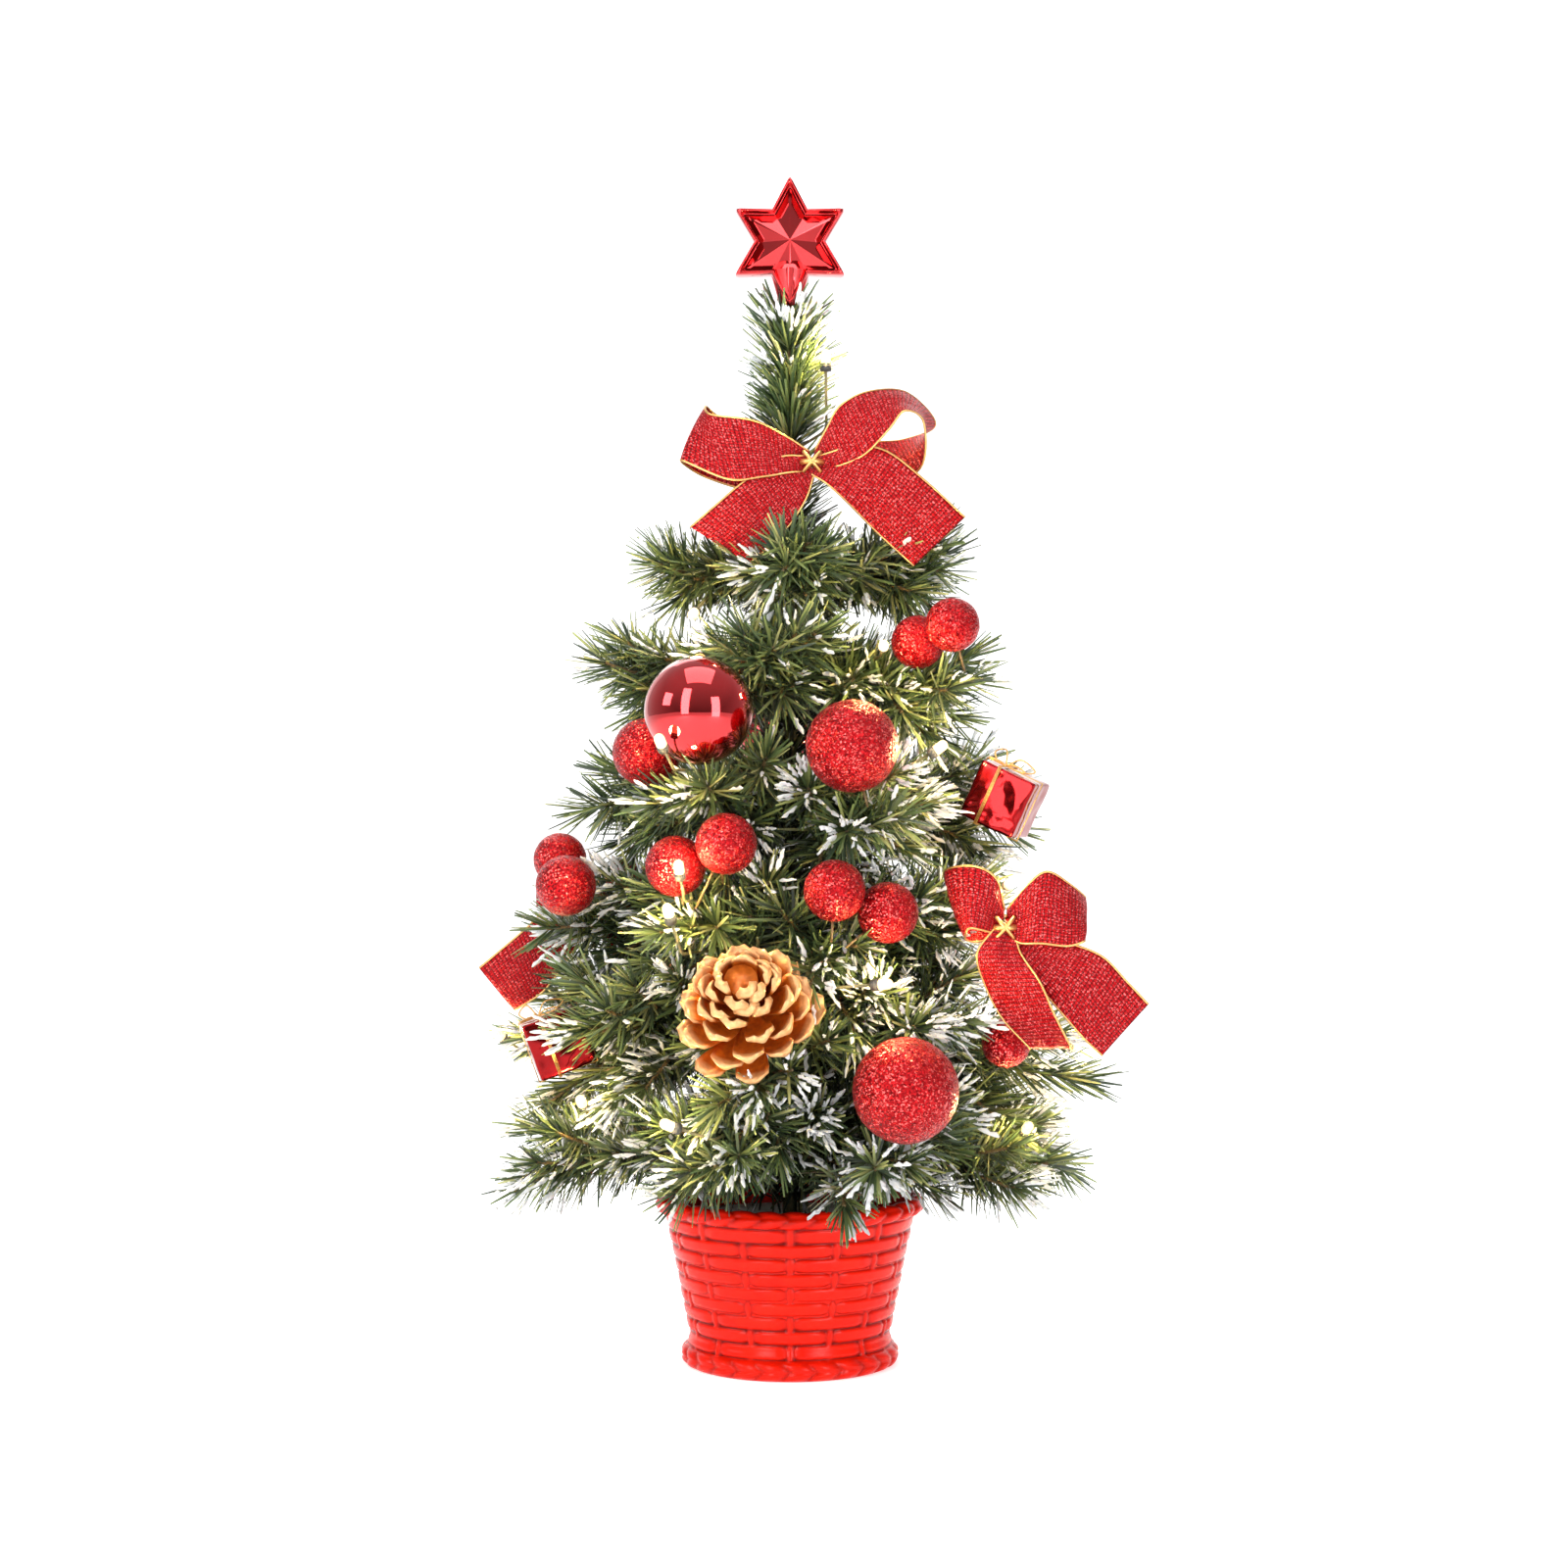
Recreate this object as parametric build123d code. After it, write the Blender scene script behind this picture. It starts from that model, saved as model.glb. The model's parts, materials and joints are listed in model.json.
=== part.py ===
"""Artificial tabletop tree with a woven-look pot, bending branches, ornaments and a battery light string.

Millimetres. +Z is up, -Y is the front, and the origin is the centre of the pot's foot on the table.
Each branch turns up and down on the knuckle at its root, the star lifts off the trunk's spike,
the battery door slides under the pot, and the light switch slides beside it.
"""

import os
from math import cos, radians, sin, sqrt

from build123d import *

# Pot and its filling
POT_HEIGHT = 71.0
FOOT_R = 44.0
WAIST_R, WAIST_Z = 41.9, 12.5
NECK_R, NECK_Z = 52.0, 62.0
RIM_R = 55.2
POT_WALL = 1.8
RECESS_R, RECESS_Z = 38.0, 4.0
POT_FLOOR = 2.0
FILLER_TOP = 60.0
SEAT_GAP = 0.1

# Battery compartment in the pot's underside
HOUSING_X, HOUSING_Y, HOUSING_TOP = 48.0, 54.0, 20.0
BAY_X, BAY_Y, BAY_TOP, BAY_SHIFT = 34.0, 50.0, 18.4, -2.0
CELL_R, CELL_LENGTH, CELL_PITCH, CELL_LIFT = 5.2, 44.5, 11.2, 7.2
BUTTON_R, BUTTON_H = 1.9, 0.8
CONTACT_HALF, CONTACT_T, CONTACT_GAP = 4.0, 0.4, 0.1
SPRING_R, SPRING_DEPTH, FLAT_END_GAP = 2.6, 1.5, 0.2
DOOR_X, DOOR_Y, DOOR_T, DOOR_GAP = 35.0, 51.0, 1.5, 0.2
RIDGES, RIDGE_HALF, RIDGE_W, RIDGE_H, RIDGE_PITCH, RIDGE_INSET = 4, 7.0, 1.0, 0.5, 2.2, 5.0
SWITCH_X = 19.7
SWITCH_BAY = (5.6, 16.0, 5.0)
SWITCH_KNOB = (4.4, 6.0, 5.2)
SWITCH_STICKS_OUT = 1.2
SWITCH_TRAVEL = 4.0

# Trunk
TRUNK_R, TRUNK_BOTTOM, TRUNK_STEP = 3.2, 24.0, 380.0
TRUNK_TOP_R, TRUNK_TOP = 2.0, 446.0
SPIKE_R, SPIKE_TOP = 1.5, 466.0
BORE_GAP = 0.05

# Branch roots
HINGE_R = 7.5
KNUCKLE_R = 1.6
KNUCKLE_GAP = 0.15
POCKET_SIDE_GAP, POCKET_HEIGHT, POCKET_REACH = 0.3, 4.4, 4.0
STEM_R, TWIG_R = 0.9, 0.8
BINDING_R, BINDING_H, TOP_BINDING_H = 8.5, 16.0, 6.0

# Light string
RISER_R, RISER_ORBIT, RISER_AZ = 0.9, 4.6, 20.0
LEAD_R, LEAD_STANDOFF = 0.6, 1.6
LEAD_BEND = 5.0
LEAD_START_X, LEAD_START_Z = 10.5, 4.9
LEAD_TURN_OFF, LEAD_LEAST_RUN = 12.0, 16.0
STUB_REACH = 9.2
BULB_R, BULB_LENGTH = 2.2, 6.0
TOP_LEAD_DROP, TOP_LEAD_BEND = 4.0, (15.5, 1.5, 3.0)

# Star
STAR_R, STAR_Z, STAR_DEPTH, STAR_SKIN = 26.5, 473.5, 8.5, 0.86
SOCKET_BOTTOM, SOCKET_TOP = 446.3, 470.0
SOCKET_MOUTH_R, SOCKET_THROAT_R = 4.2, 8.6
SOCKET_THROAT_Z = 461.0
SOCKET_SHOULDER = 6.0
SOCKET_GAP = 0.1
FLUTES, FLUTE_R, FLUTE_OUT_LOW, FLUTE_OUT_HIGH = 6, 2.4, 2.2, 1.6

# Each branch: tier, azimuth, tilt, reach, core radius, [side tips: (turn, length)], height over its tier
TIER_Z = {"a": 332.0, "b": 290.0, "c": 240.0, "d": 190.0, "e": 140.0, "f": 96.0}
BRANCHES = {
    "a_front": ("a", -88, 3, 56, 8.0, [(-38, 40), (38, 40)], 0),
    "a_left": ("a", -170, 2, 60, 8.0, [(-38, 42)], 0),
    "a_right": ("a", -10, 2, 66, 8.0, [(38, 42)], 0),
    "a_back": ("a", 88, 2, 60, 8.0, [(-40, 42), (40, 42)], 0),
    "b_left": ("b", -174, 0, 82, 9.0, [(-36, 50)], 0),
    "b_front": ("b", -100, 4, 66, 8.5, [], 0),
    "b_right": ("b", -32, -6, 88, 9.0, [(-32, 56), (34, 56)], 0),
    "b_back": ("b", 75, 0, 80, 9.0, [(-38, 52), (38, 52)], 0),
    "c_left": ("c", -169, -3, 88, 9.5, [(-36, 56)], 0),
    "c_front_left": ("c", -116, 0, 96, 9.0, [], -1),
    "c_front_right": ("c", -70, -7, 96, 8.0, [], -2),
    "c_right": ("c", 4, -6, 90, 9.5, [], 0),
    "c_back": ("c", 90, 0, 88, 9.5, [(-38, 56), (38, 56)], 0),
    "d_left": ("d", -170, -4, 104, 9.5, [], 0),
    "d_front_left": ("d", -114, 0, 98, 8.5, [], -2),
    "d_front": ("d", -81, -7, 98, 8.0, [], -4),
    "d_right": ("d", -44, -3, 92, 9.0, [(38, 62)], 0),
    "d_back": ("d", 88, -2, 104, 10.0, [(-40, 66), (40, 66)], 0),
    "e_left": ("e", -146, 1, 98, 9.0, [], 4),
    "e_front": ("e", -97, -7, 112, 9.0, [], -2),
    "e_front_right": ("e", -55, 3, 102, 8.5, [], 4),
    "e_right": ("e", -12, -9, 128, 10.0, [(36, 76)], 0),
    "e_back": ("e", 82, -3, 116, 10.0, [(-36, 72), (36, 72)], 0),
    "e_far_left": ("e", 171, -2, 116, 9.5, [(-38, 72)], 0),
    "f_left": ("f", -164, -7, 116, 10.0, [(-36, 74)], 0),
    "f_front_left": ("f", -106, 0, 108, 9.0, [(-34, 66)], 0),
    "f_front_right": ("f", -64, 0, 108, 8.5, [], 0),
    "f_right": ("f", -23, -8, 112, 10.0, [(38, 74)], 0),
    "f_back": ("f", 88, -6, 114, 10.0, [(-42, 74), (42, 74)], 0),
}
SLEEVE_START, SLEEVE_START_R = 13.0, 4.0
SLEEVE_FULL, SLEEVE_NARROW, SLEEVE_NARROW_R, SLEEVE_END_R = 0.3, 0.75, 0.92, 0.45
SIDE_SLEEVE_R, SIDE_SLEEVE_GAP = 0.85, 4.8
STEM_SHORT_OF_TIP, BORE_SHORT_OF_TIP = 6.0, 5.0
FORK_SHARE = 0.28

# Lamps of the light string: branch, place, and a point that the lead goes round
LAMPS = [
    ("a_left", (-39, -55, 313), None),
    ("b_right", (37, -75, 299), None),
    ("c_front_left", (-50, -106, 260), None),
    ("c_front_right", (58, -80, 258), None),
    ("c_back", (30, 80, 256), None),
    ("d_right", (86, -86, 205), (84, -60, 201)),
    ("d_front_left", (-47, -106, 194), None),
    ("d_front_left", (-43, -105, 211), None),
    ("d_front", (35, -108, 167), None),
    ("d_back", (38, 84, 204), None),
    ("e_far_left", (-123, 6, 137), None),
    ("e_right", (118, -12, 134), None),
    ("e_back", (50, 98, 150), None),
    ("f_left", (-84, -58, 116), None),
    ("f_front_left", (-46, -112, 113), None),
    ("f_right", (95, -62, 106), None),
    ("f_back", (24, 112, 100), None),
]
TOP_BULB = (15, -13, 421)

# Ornaments: centre, radius, and the branch that each is wired to
BALLS = {
    "shiny_ball": [((-36, -86, 273), 21.5, "c_front_left")],
    "small_ball_left": [((-58, -56, 257), 14.0, "c_front_left")],
    "upper_glitter_ball": [((24, -96, 259), 18.3, "c_front_right")],
    "lower_glitter_ball": [((44, -116, 127), 20.6, "f_front_right")],
    "small_ball_right": [((86, -70, 141), 10.0, "e_front_right")],
    "top_right_berries": [((65, -64, 308), 11.1, "b_right"), ((52, -46, 302), 11.1, "b_right")],
    "mid_left_berries": [((-25, -99, 221), 12.2, "d_front_left"), ((-45, -88, 212), 12.2, "d_front_left")],
    "centre_berries": [((17, -104, 203), 12.2, "d_front"), ((38, -94, 194), 12.2, "d_front")],
    "left_berries": [((-91, -50, 203), 12.5, "d_left"), ((-95, -29, 213), 11.2, "d_left")],
    "back_ball": [((-5, 101, 266), 18.5, "c_back")],
}
MIRROR_BALLS = ("shiny_ball", "back_ball")
PICK_R, PICK_STANDOFF, PICK_LEAST = 0.5, 0.3, 1.0
BALL_WALL = 0.9
CAP_R, CAP_H, CAP_LEAN = 4.0, 4.5, -35.0

# Pine cones: centre, tilt of the axis towards the front, turn about Z, and branch
CONES = {
    "pine_cone": ((-17, -113, 160), 38, 0, "e_front"),
    "back_pine_cone": ((-32, 115, 161), 35, 164, "e_back"),
}
CONE_REACH = 27.5
CONE_PROFILE = [(0, -23), (13, -23), (25, -9), (27, 3), (21, 17), (9, 25), (0, 25)]

# Gift boxes: centre, lean in the front plane, turn about Z, and branch
GIFT_SIZE, THREAD_W, THREAD_T = 25.0, 1.4, 0.6
GIFTS = {
    "right_gift_box": ((88, -38, 238), 25, -20, "c_right"),
    "left_gift_box": ((-97, -19, 137), -20, 10, "e_far_left"),
}

# Bows: knot, turn about Z, and outlines seen from the front, as (across, up) from the knot
RIBBON_T, LOOP_DEPTH = 1.2, 12.0
BOWS = {
    "top_bow": (
        (9, -24, 377),
        0,
        [(-2.4, 5.3), (-33, 24), (-39, 25), (-55, 2.4), (-50, -4), (-33, -10.6), (-2.4, -4.5)],
        [(2.4, 4), (12, 16), (31, 31), (43, 27), (52, 15), (51, 5), (44, -1), (2.4, -4)],
        [(-2.6, -1), (-3, -9), (-9, -18), (-23.6, -41.5), (-50, -27.3), (-30, -8), (-14, 2)],
        [(2.6, 1), (21, 7.7), (29.3, 5.3), (63.9, -22.8), (41.5, -41.5), (9, -15.9), (2.6, -4)],
    ),
    "right_bow": (
        (84, -82, 188),
        0,
        [(-2.4, 2), (-2.4, 20), (-8, 25), (-22.5, 26), (-20, 8), (-17, -3), (-10, -9), (-2.4, -3)],
        [(2.4, 0), (5.8, 17.5), (14.3, 28.3), (21, 22), (31.8, 10), (30.3, 2), (21, -6), (11.6, -7.8)],
        [(-11.6, -5.8), (-2, 1), (5.8, -4), (11.6, -15.5), (25.2, -45.4), (12.4, -45.4), (-3.9, -29)],
        [(11.6, -7.8), (25, -5.8), (35, -11.6), (55.4, -25.2), (36.8, -47.3), (17.5, -27)],
    ),
    "left_bow": (
        (-80, 14, 201),
        0,
        [(-2.4, 4), (-14, 18), (-24, 14), (-28, -2), (-22, -10), (-2.4, -4)],
        [(2.4, 4), (10, 12), (22, 9), (24, 0), (18, -8), (2.4, -4)],
        [(-6, -8), (-20, -12), (-33, -19.4), (-51.6, -32), (-35, -49.3), (-10, -26)],
        [(2, -5), (12, -8), (22, -28), (8, -34), (-2, -22)],
    ),
}
BOW_TAIL_SPLIT = 0.4
TIE_R, TIE_REACH, TIE_GAP = 1.2, 5.0, 0.1


def save(node, *solids):
    """Writes one node's STEP."""
    shape = solids[0] if len(solids) == 1 else Compound(children=list(solids))
    export_step(shape, f"parts/{node}.step")


def block(low, high):
    """A box between two corners."""
    middle = [(a + b) / 2 for a, b in zip(low, high)]
    return Pos(*middle) * Box(*[b - a for a, b in zip(low, high)])


def disc(z0, z1, r, x=0.0, y=0.0):
    """An upright cylinder."""
    return Pos(x, y, (z0 + z1) / 2) * Cylinder(r, z1 - z0)


def rod(start, end, r):
    """A round bar between two points."""
    start, end = Vector(*start), Vector(*end)
    along = end - start
    return Plane(origin=start + along * 0.5, z_dir=along) * Cylinder(r, along.length)


def turned(profile):
    """A solid turned about Z from (radius, height) points."""
    outline = Polyline(*[(r, 0, z) for r, z in profile], close=True)
    return revolve(make_face(outline), Axis.Z)


def one(shape):
    """The single solid of a result."""
    found = shape.solids()
    assert len(found) == 1, f"expected one solid and got {len(found)}"
    return found[0]


def pot():
    """Moulded pot: flared foot, tapering wall and rolled rim, with a floor set up inside the foot."""
    rim_in = RIM_R - POT_WALL
    profile = [
        (RECESS_R, 0), (FOOT_R, 0), (FOOT_R + 0.4, 5), (WAIST_R, WAIST_Z), (NECK_R, NECK_Z),
        (RIM_R, POT_HEIGHT - 4), (RIM_R, POT_HEIGHT), (rim_in, POT_HEIGHT), (rim_in, POT_HEIGHT - 3.5),
        (NECK_R - POT_WALL, NECK_Z), (WAIST_R - POT_WALL, WAIST_Z),
        (WAIST_R - POT_WALL, RECESS_Z + POT_FLOOR), (0, RECESS_Z + POT_FLOOR), (0, RECESS_Z),
        (RECESS_R, RECESS_Z),
    ]
    gap = 2 * SEAT_GAP
    hole_x, hole_y = HOUSING_X / 2 + gap, HOUSING_Y / 2 + gap
    hole = block((-hole_x, -hole_y, RECESS_Z - 1), (hole_x, hole_y, RECESS_Z + POT_FLOOR + 1))
    return one(turned(profile) - hole)


def riser_at(orbit=RISER_ORBIT, azimuth=RISER_AZ):
    """Where a wire runs beside the trunk, seen from above."""
    return orbit * cos(radians(azimuth)), orbit * sin(radians(azimuth))


def pot_filler():
    """Cast plaster that weighs the pot down and holds the trunk and the battery housing."""
    floor = RECESS_Z + POT_FLOOR + SEAT_GAP
    taper = (NECK_R - WAIST_R) / (NECK_Z - WAIST_Z)
    waist = WAIST_R - POT_WALL - SEAT_GAP
    top = waist + taper * (FILLER_TOP - WAIST_Z)
    body = turned([(0, floor), (waist, floor), (waist, WAIST_Z), (top, FILLER_TOP), (0, FILLER_TOP)])
    gap = 2 * SEAT_GAP
    hole_x, hole_y = HOUSING_X / 2 + gap, HOUSING_Y / 2 + gap
    body -= block((-hole_x, -hole_y, 0), (hole_x, hole_y, HOUSING_TOP + gap))
    body -= disc(TRUNK_BOTTOM - SEAT_GAP, FILLER_TOP + 1, TRUNK_R + BORE_GAP)
    body -= disc(HOUSING_TOP - 1, FILLER_TOP + 1, RISER_R + BORE_GAP, *riser_at())
    return one(body)


def trunk():
    """Bound wire trunk, stepped down inside the top sprig and ending in the spike that holds the star."""
    return one(
        disc(TRUNK_BOTTOM, TRUNK_STEP, TRUNK_R)
        + disc(TRUNK_STEP, TRUNK_TOP, TRUNK_TOP_R)
        + disc(TRUNK_TOP, SPIKE_TOP, SPIKE_R)
    )


def at_root(name):
    """The frame of one branch: its origin is the knuckle's centre, and +X runs out along the stem."""
    tier, azimuth, tilt, _, _, _, lift = BRANCHES[name]
    turn = Rot(0, 0, azimuth)
    return turn * Pos(HINGE_R, 0, TIER_Z[tier] + lift) * Rot(0, -tilt, 0)


def trunk_bindings():
    """Tape bindings round the trunk, one for each tier, with a pocket for each branch's knuckle."""
    half_w, half_h = STEM_R + POCKET_SIDE_GAP, POCKET_HEIGHT / 2
    pocket = Sphere(KNUCKLE_R + KNUCKLE_GAP)
    pocket += block((0, -half_w, -half_h), (POCKET_REACH, half_w, half_h))
    bindings = []
    for tier, z in TIER_Z.items():
        ring = disc(z - BINDING_H / 2, z + BINDING_H / 2, BINDING_R)
        ring -= disc(z - BINDING_H, z + BINDING_H, TRUNK_R + BORE_GAP)
        ring -= disc(z - BINDING_H, z + BINDING_H, RISER_R + BORE_GAP, *riser_at())
        for name, row in BRANCHES.items():
            if row[0] == tier:
                ring -= at_root(name) * pocket
        bindings.append(one(ring))
    low, high = TRUNK_STEP, TRUNK_STEP + TOP_BINDING_H
    knot = disc(low, high, RISER_ORBIT + 2) - disc(low - 1, high + 1, TRUNK_TOP_R + BORE_GAP)
    knot -= disc(low - 1, high + 1, RISER_R + BORE_GAP, *riser_at())
    return [*bindings, one(knot)]


def sleeve(start, end, r_start, r, bore_r):
    """The dense core of one brush of needles along +X, bored for its stem."""
    length = end - start
    outline = [
        (start, 0), (start, r_start), (start + SLEEVE_FULL * length, r),
        (start + SLEEVE_NARROW * length, SLEEVE_NARROW_R * r), (end, SLEEVE_END_R * r), (end, 0),
    ]
    body = revolve(make_face(Polyline(*[(x, y, 0) for x, y in outline], close=True)), Axis.X)
    return body - rod((start - 1, 0, 0), (end - BORE_SHORT_OF_TIP, 0, 0), bore_r + BORE_GAP)


def wire(points, radius, r):
    """A round wire along straight runs and tangent arcs."""
    path = FilletPolyline(*points, radius=radius)
    section = Plane(origin=path @ 0, z_dir=path % 0) * Circle(r)
    return sweep(section, path=path)


def bulb(tip, direction):
    """One lamp of the light string: a round-nosed capsule whose middle is at tip."""
    base, nose = tip - direction * (BULB_LENGTH / 2), tip + direction * (BULB_LENGTH / 2)
    return one(rod(base, nose, BULB_R) + Pos(*nose) * Sphere(BULB_R))


def lamp_on_branch(name, place, detour, reach, core_r):
    """A lamp and the lead that runs out to it along the needles, in the branch's frame."""
    into = at_root(name).inverse()
    tip = (into * Pos(*place)).position
    side = 1 if tip.Z >= core_r else -1
    crest = SLEEVE_START + SLEEVE_FULL * (reach - SLEEVE_START)
    level = (core_r + LEAD_STANDOFF) * side
    points = [Vector(LEAD_START_X, 0, LEAD_START_Z * side), Vector(crest, 0, level)]
    turn_off = min(tip.X - LEAD_TURN_OFF, reach)
    if detour:
        points.append((into * Pos(*detour)).position)
    elif turn_off > crest + LEAD_LEAST_RUN:
        points.append(Vector(turn_off, 0, level))
    direction = (tip - points[-1]).normalized()
    points.append(tip - direction * (BULB_LENGTH / 2 + BORE_GAP))
    return [one(wire(points, LEAD_BEND, LEAD_R)), bulb(tip, direction)]


def branch(name):
    """One branch: a forked wire stem with a knuckle, a sleeve of needles on each tip, and its lamp."""
    _, _, _, reach, core_r, sides, _ = BRANCHES[name]
    stem = Sphere(KNUCKLE_R) + rod((0, 0, 0), (reach - STEM_SHORT_OF_TIP, 0, 0), STEM_R)
    main = sleeve(SLEEVE_START, reach, SLEEVE_START_R, core_r, STEM_R)
    fork = FORK_SHARE * reach
    tips = []
    for turn, length in sides:
        lean = Pos(fork, 0, 0) * Rot(0, 0, turn)
        start = (core_r + SIDE_SLEEVE_GAP) / sin(radians(abs(turn)))
        stem += lean * rod((0, 0, 0), (length - STEM_SHORT_OF_TIP, 0, 0), TWIG_R)
        main -= lean * rod((0, 0, 0), (length, 0, 0), TWIG_R + BORE_GAP)
        tips.append(lean * sleeve(start, length, SLEEVE_START_R, SIDE_SLEEVE_R * core_r, TWIG_R))
    solids = [one(stem), one(main), *[one(tip) for tip in tips]]
    for host, place, detour in LAMPS:
        if host == name:
            solids += lamp_on_branch(name, place, detour, reach, core_r)
    return [at_root(name) * solid for solid in solids]


def top_sprig():
    """The upright sleeve of needles round the trunk's top, under the star."""
    low, high = TRUNK_STEP + 12, TRUNK_TOP - 2
    profile = [(0, low), (5, low), (10.5, low + 22), (10, high - 14), (6, high), (0, high)]
    return one(turned(profile) - disc(low - 1, high + 1, TRUNK_TOP_R + BORE_GAP))


def light_wire():
    """The feed up the trunk with a ring and a stub for each branch, and the lamp on the top sprig."""
    top = TRUNK_STEP + 11
    lit = [host for host, _, _ in LAMPS]
    feed = disc(HOUSING_TOP + SEAT_GAP, top, RISER_R, *riser_at())
    for tier, z in TIER_Z.items():
        level = z + BINDING_H / 2 + 1
        feed += Pos(0, 0, level) * Torus(RISER_ORBIT, LEAD_R)
        for name, row in BRANCHES.items():
            if row[0] == tier and name in lit:
                inner, outer = riser_at(RISER_ORBIT, row[1]), riser_at(STUB_REACH, row[1])
                feed += rod((*inner, level), (*outer, level), LEAD_R)
    x, y = riser_at()
    tip = Vector(*TOP_BULB)
    bend_x, bend_y, rise = TOP_LEAD_BEND
    end = tip - Vector(0, 0, BULB_LENGTH / 2 + BORE_GAP)
    points = [Vector(x, y, top - TOP_LEAD_DROP), Vector(bend_x, bend_y, top + rise), end]
    feed += wire(points, LEAD_BEND, LEAD_R)
    return [one(feed), bulb(tip, Vector(0, 0, 1))]


def battery_housing():
    """Moulded box in the pot's floor with a bay for the cells and a pocket for the switch."""
    body = block((-HOUSING_X / 2, -HOUSING_Y / 2, RECESS_Z), (HOUSING_X / 2, HOUSING_Y / 2, HOUSING_TOP))
    body -= block((BAY_SHIFT - BAY_X / 2, -BAY_Y / 2, 0), (BAY_SHIFT + BAY_X / 2, BAY_Y / 2, BAY_TOP))
    sx, sy, sz = SWITCH_BAY
    body -= block((SWITCH_X - sx / 2, -sy / 2, 0), (SWITCH_X + sx / 2, sy / 2, RECESS_Z + sz))
    return one(body)


def cell_places():
    """Each cell's X across the bay."""
    return [BAY_SHIFT + i * CELL_PITCH for i in (-1, 0, 1)]


def battery_cells():
    """Three small cells side by side, each with its button."""
    z = RECESS_Z + CELL_LIFT
    cells = []
    for i, x in enumerate(cell_places()):
        way = 1 if i % 2 else -1
        half = CELL_LENGTH / 2
        can = rod((x, -half, z), (x, half, z), CELL_R)
        button = rod((x, way * half, z), (x, way * (half + BUTTON_H), z), BUTTON_R)
        cells.append(one(can + button))
    return cells


def battery_contacts():
    """A sprung contact at one end of each cell and a flat one at the other."""
    z = RECESS_Z + CELL_LIFT
    wall = BAY_Y / 2
    contacts = []
    for i, x in enumerate(cell_places()):
        way = 1 if i % 2 else -1
        for end in (way, -way):
            plate = Box(2 * CONTACT_HALF, CONTACT_T, 2 * CONTACT_HALF)
            middle = end * (wall - CONTACT_GAP - CONTACT_T / 2)
            flat = CELL_LENGTH / 2 + FLAT_END_GAP
            reach = wall - SPRING_DEPTH if end == way else flat
            spring = rod((x, middle, z), (x, end * reach, z), SPRING_R)
            contacts.append(one(Pos(x, middle, z) * plate + spring))
    return contacts


def battery_door():
    """The flat door under the cells, with grip ridges."""
    top = RECESS_Z - DOOR_GAP
    x0, x1 = BAY_SHIFT - DOOR_X / 2, BAY_SHIFT + DOOR_X / 2
    door = block((x0, -DOOR_Y / 2, top - DOOR_T), (x1, DOOR_Y / 2, top))
    for i in range(RIDGES):
        y = DOOR_Y / 2 - RIDGE_INSET - RIDGE_PITCH * i
        low = (BAY_SHIFT - RIDGE_HALF, y - RIDGE_W / 2, top - DOOR_T - RIDGE_H)
        door += block(low, (BAY_SHIFT + RIDGE_HALF, y + RIDGE_W / 2, top - DOOR_T))
    return one(door)


def switch_slider():
    """The switch's knob at its off end."""
    kx, ky, kz = SWITCH_KNOB
    bottom = RECESS_Z - SWITCH_STICKS_OUT
    y0 = -ky / 2 - SWITCH_TRAVEL / 2
    return block((SWITCH_X - kx / 2, y0, bottom), (SWITCH_X + kx / 2, y0 + ky, bottom + kz))


def star_pyramid(r, depth, way):
    """One faceted face of a six-pointed star, standing on the plane Y = 0."""
    inner = r / sqrt(3)
    corners = []
    for i in range(12):
        reach = inner if i % 2 else r
        angle = radians(90 + 30 * i)
        corners.append(Vector(reach * cos(angle), 0, reach * sin(angle)))
    apex = Vector(0, way * depth, 0)
    faces = [Face(Wire.make_polygon([a, b, apex])) for a, b in zip(corners, corners[1:] + corners[:1])]
    faces.append(Face(Wire.make_polygon(corners)))
    return Pos(0, 0, STAR_Z) * Solid(Shell(faces))


def socket_outline(gap=0.0):
    """The outside of the star's socket, or of the space that it needs."""
    shoulder = SOCKET_THROAT_Z + SOCKET_SHOULDER + 2 * gap
    return turned([
        (0, SOCKET_BOTTOM), (SOCKET_MOUTH_R + gap, SOCKET_BOTTOM),
        (SOCKET_THROAT_R + gap, SOCKET_THROAT_Z + gap),
        (SOCKET_MOUTH_R + gap, shoulder), (SOCKET_MOUTH_R + gap, SOCKET_TOP + gap), (0, SOCKET_TOP + gap),
    ])


def star_shell(way):
    """One half of the star: a thin faceted shell, cut away where the socket passes."""
    half = star_pyramid(STAR_R, STAR_DEPTH, way)
    half -= star_pyramid(STAR_R * STAR_SKIN, STAR_DEPTH * STAR_SKIN, way)
    half -= socket_outline(SOCKET_GAP)
    half -= disc(SOCKET_BOTTOM - 1, SOCKET_THROAT_Z + SOCKET_GAP, SOCKET_THROAT_R + SOCKET_GAP)
    return max(half.solids(), key=lambda solid: solid.volume)


def star_socket():
    """The fluted socket that slips over the trunk's spike."""
    body = socket_outline() - disc(SOCKET_BOTTOM - 1, SPIKE_TOP + SOCKET_GAP, SPIKE_R + BORE_GAP)
    low = (SOCKET_MOUTH_R + FLUTE_OUT_LOW, 0, SOCKET_BOTTOM - 1)
    high = (SOCKET_THROAT_R + FLUTE_OUT_HIGH, 0, SOCKET_THROAT_Z)
    for i in range(FLUTES):
        body -= Rot(0, 0, (i + 0.5) * 360 / FLUTES) * rod(low, high, FLUTE_R)
    return one(body)


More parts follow.
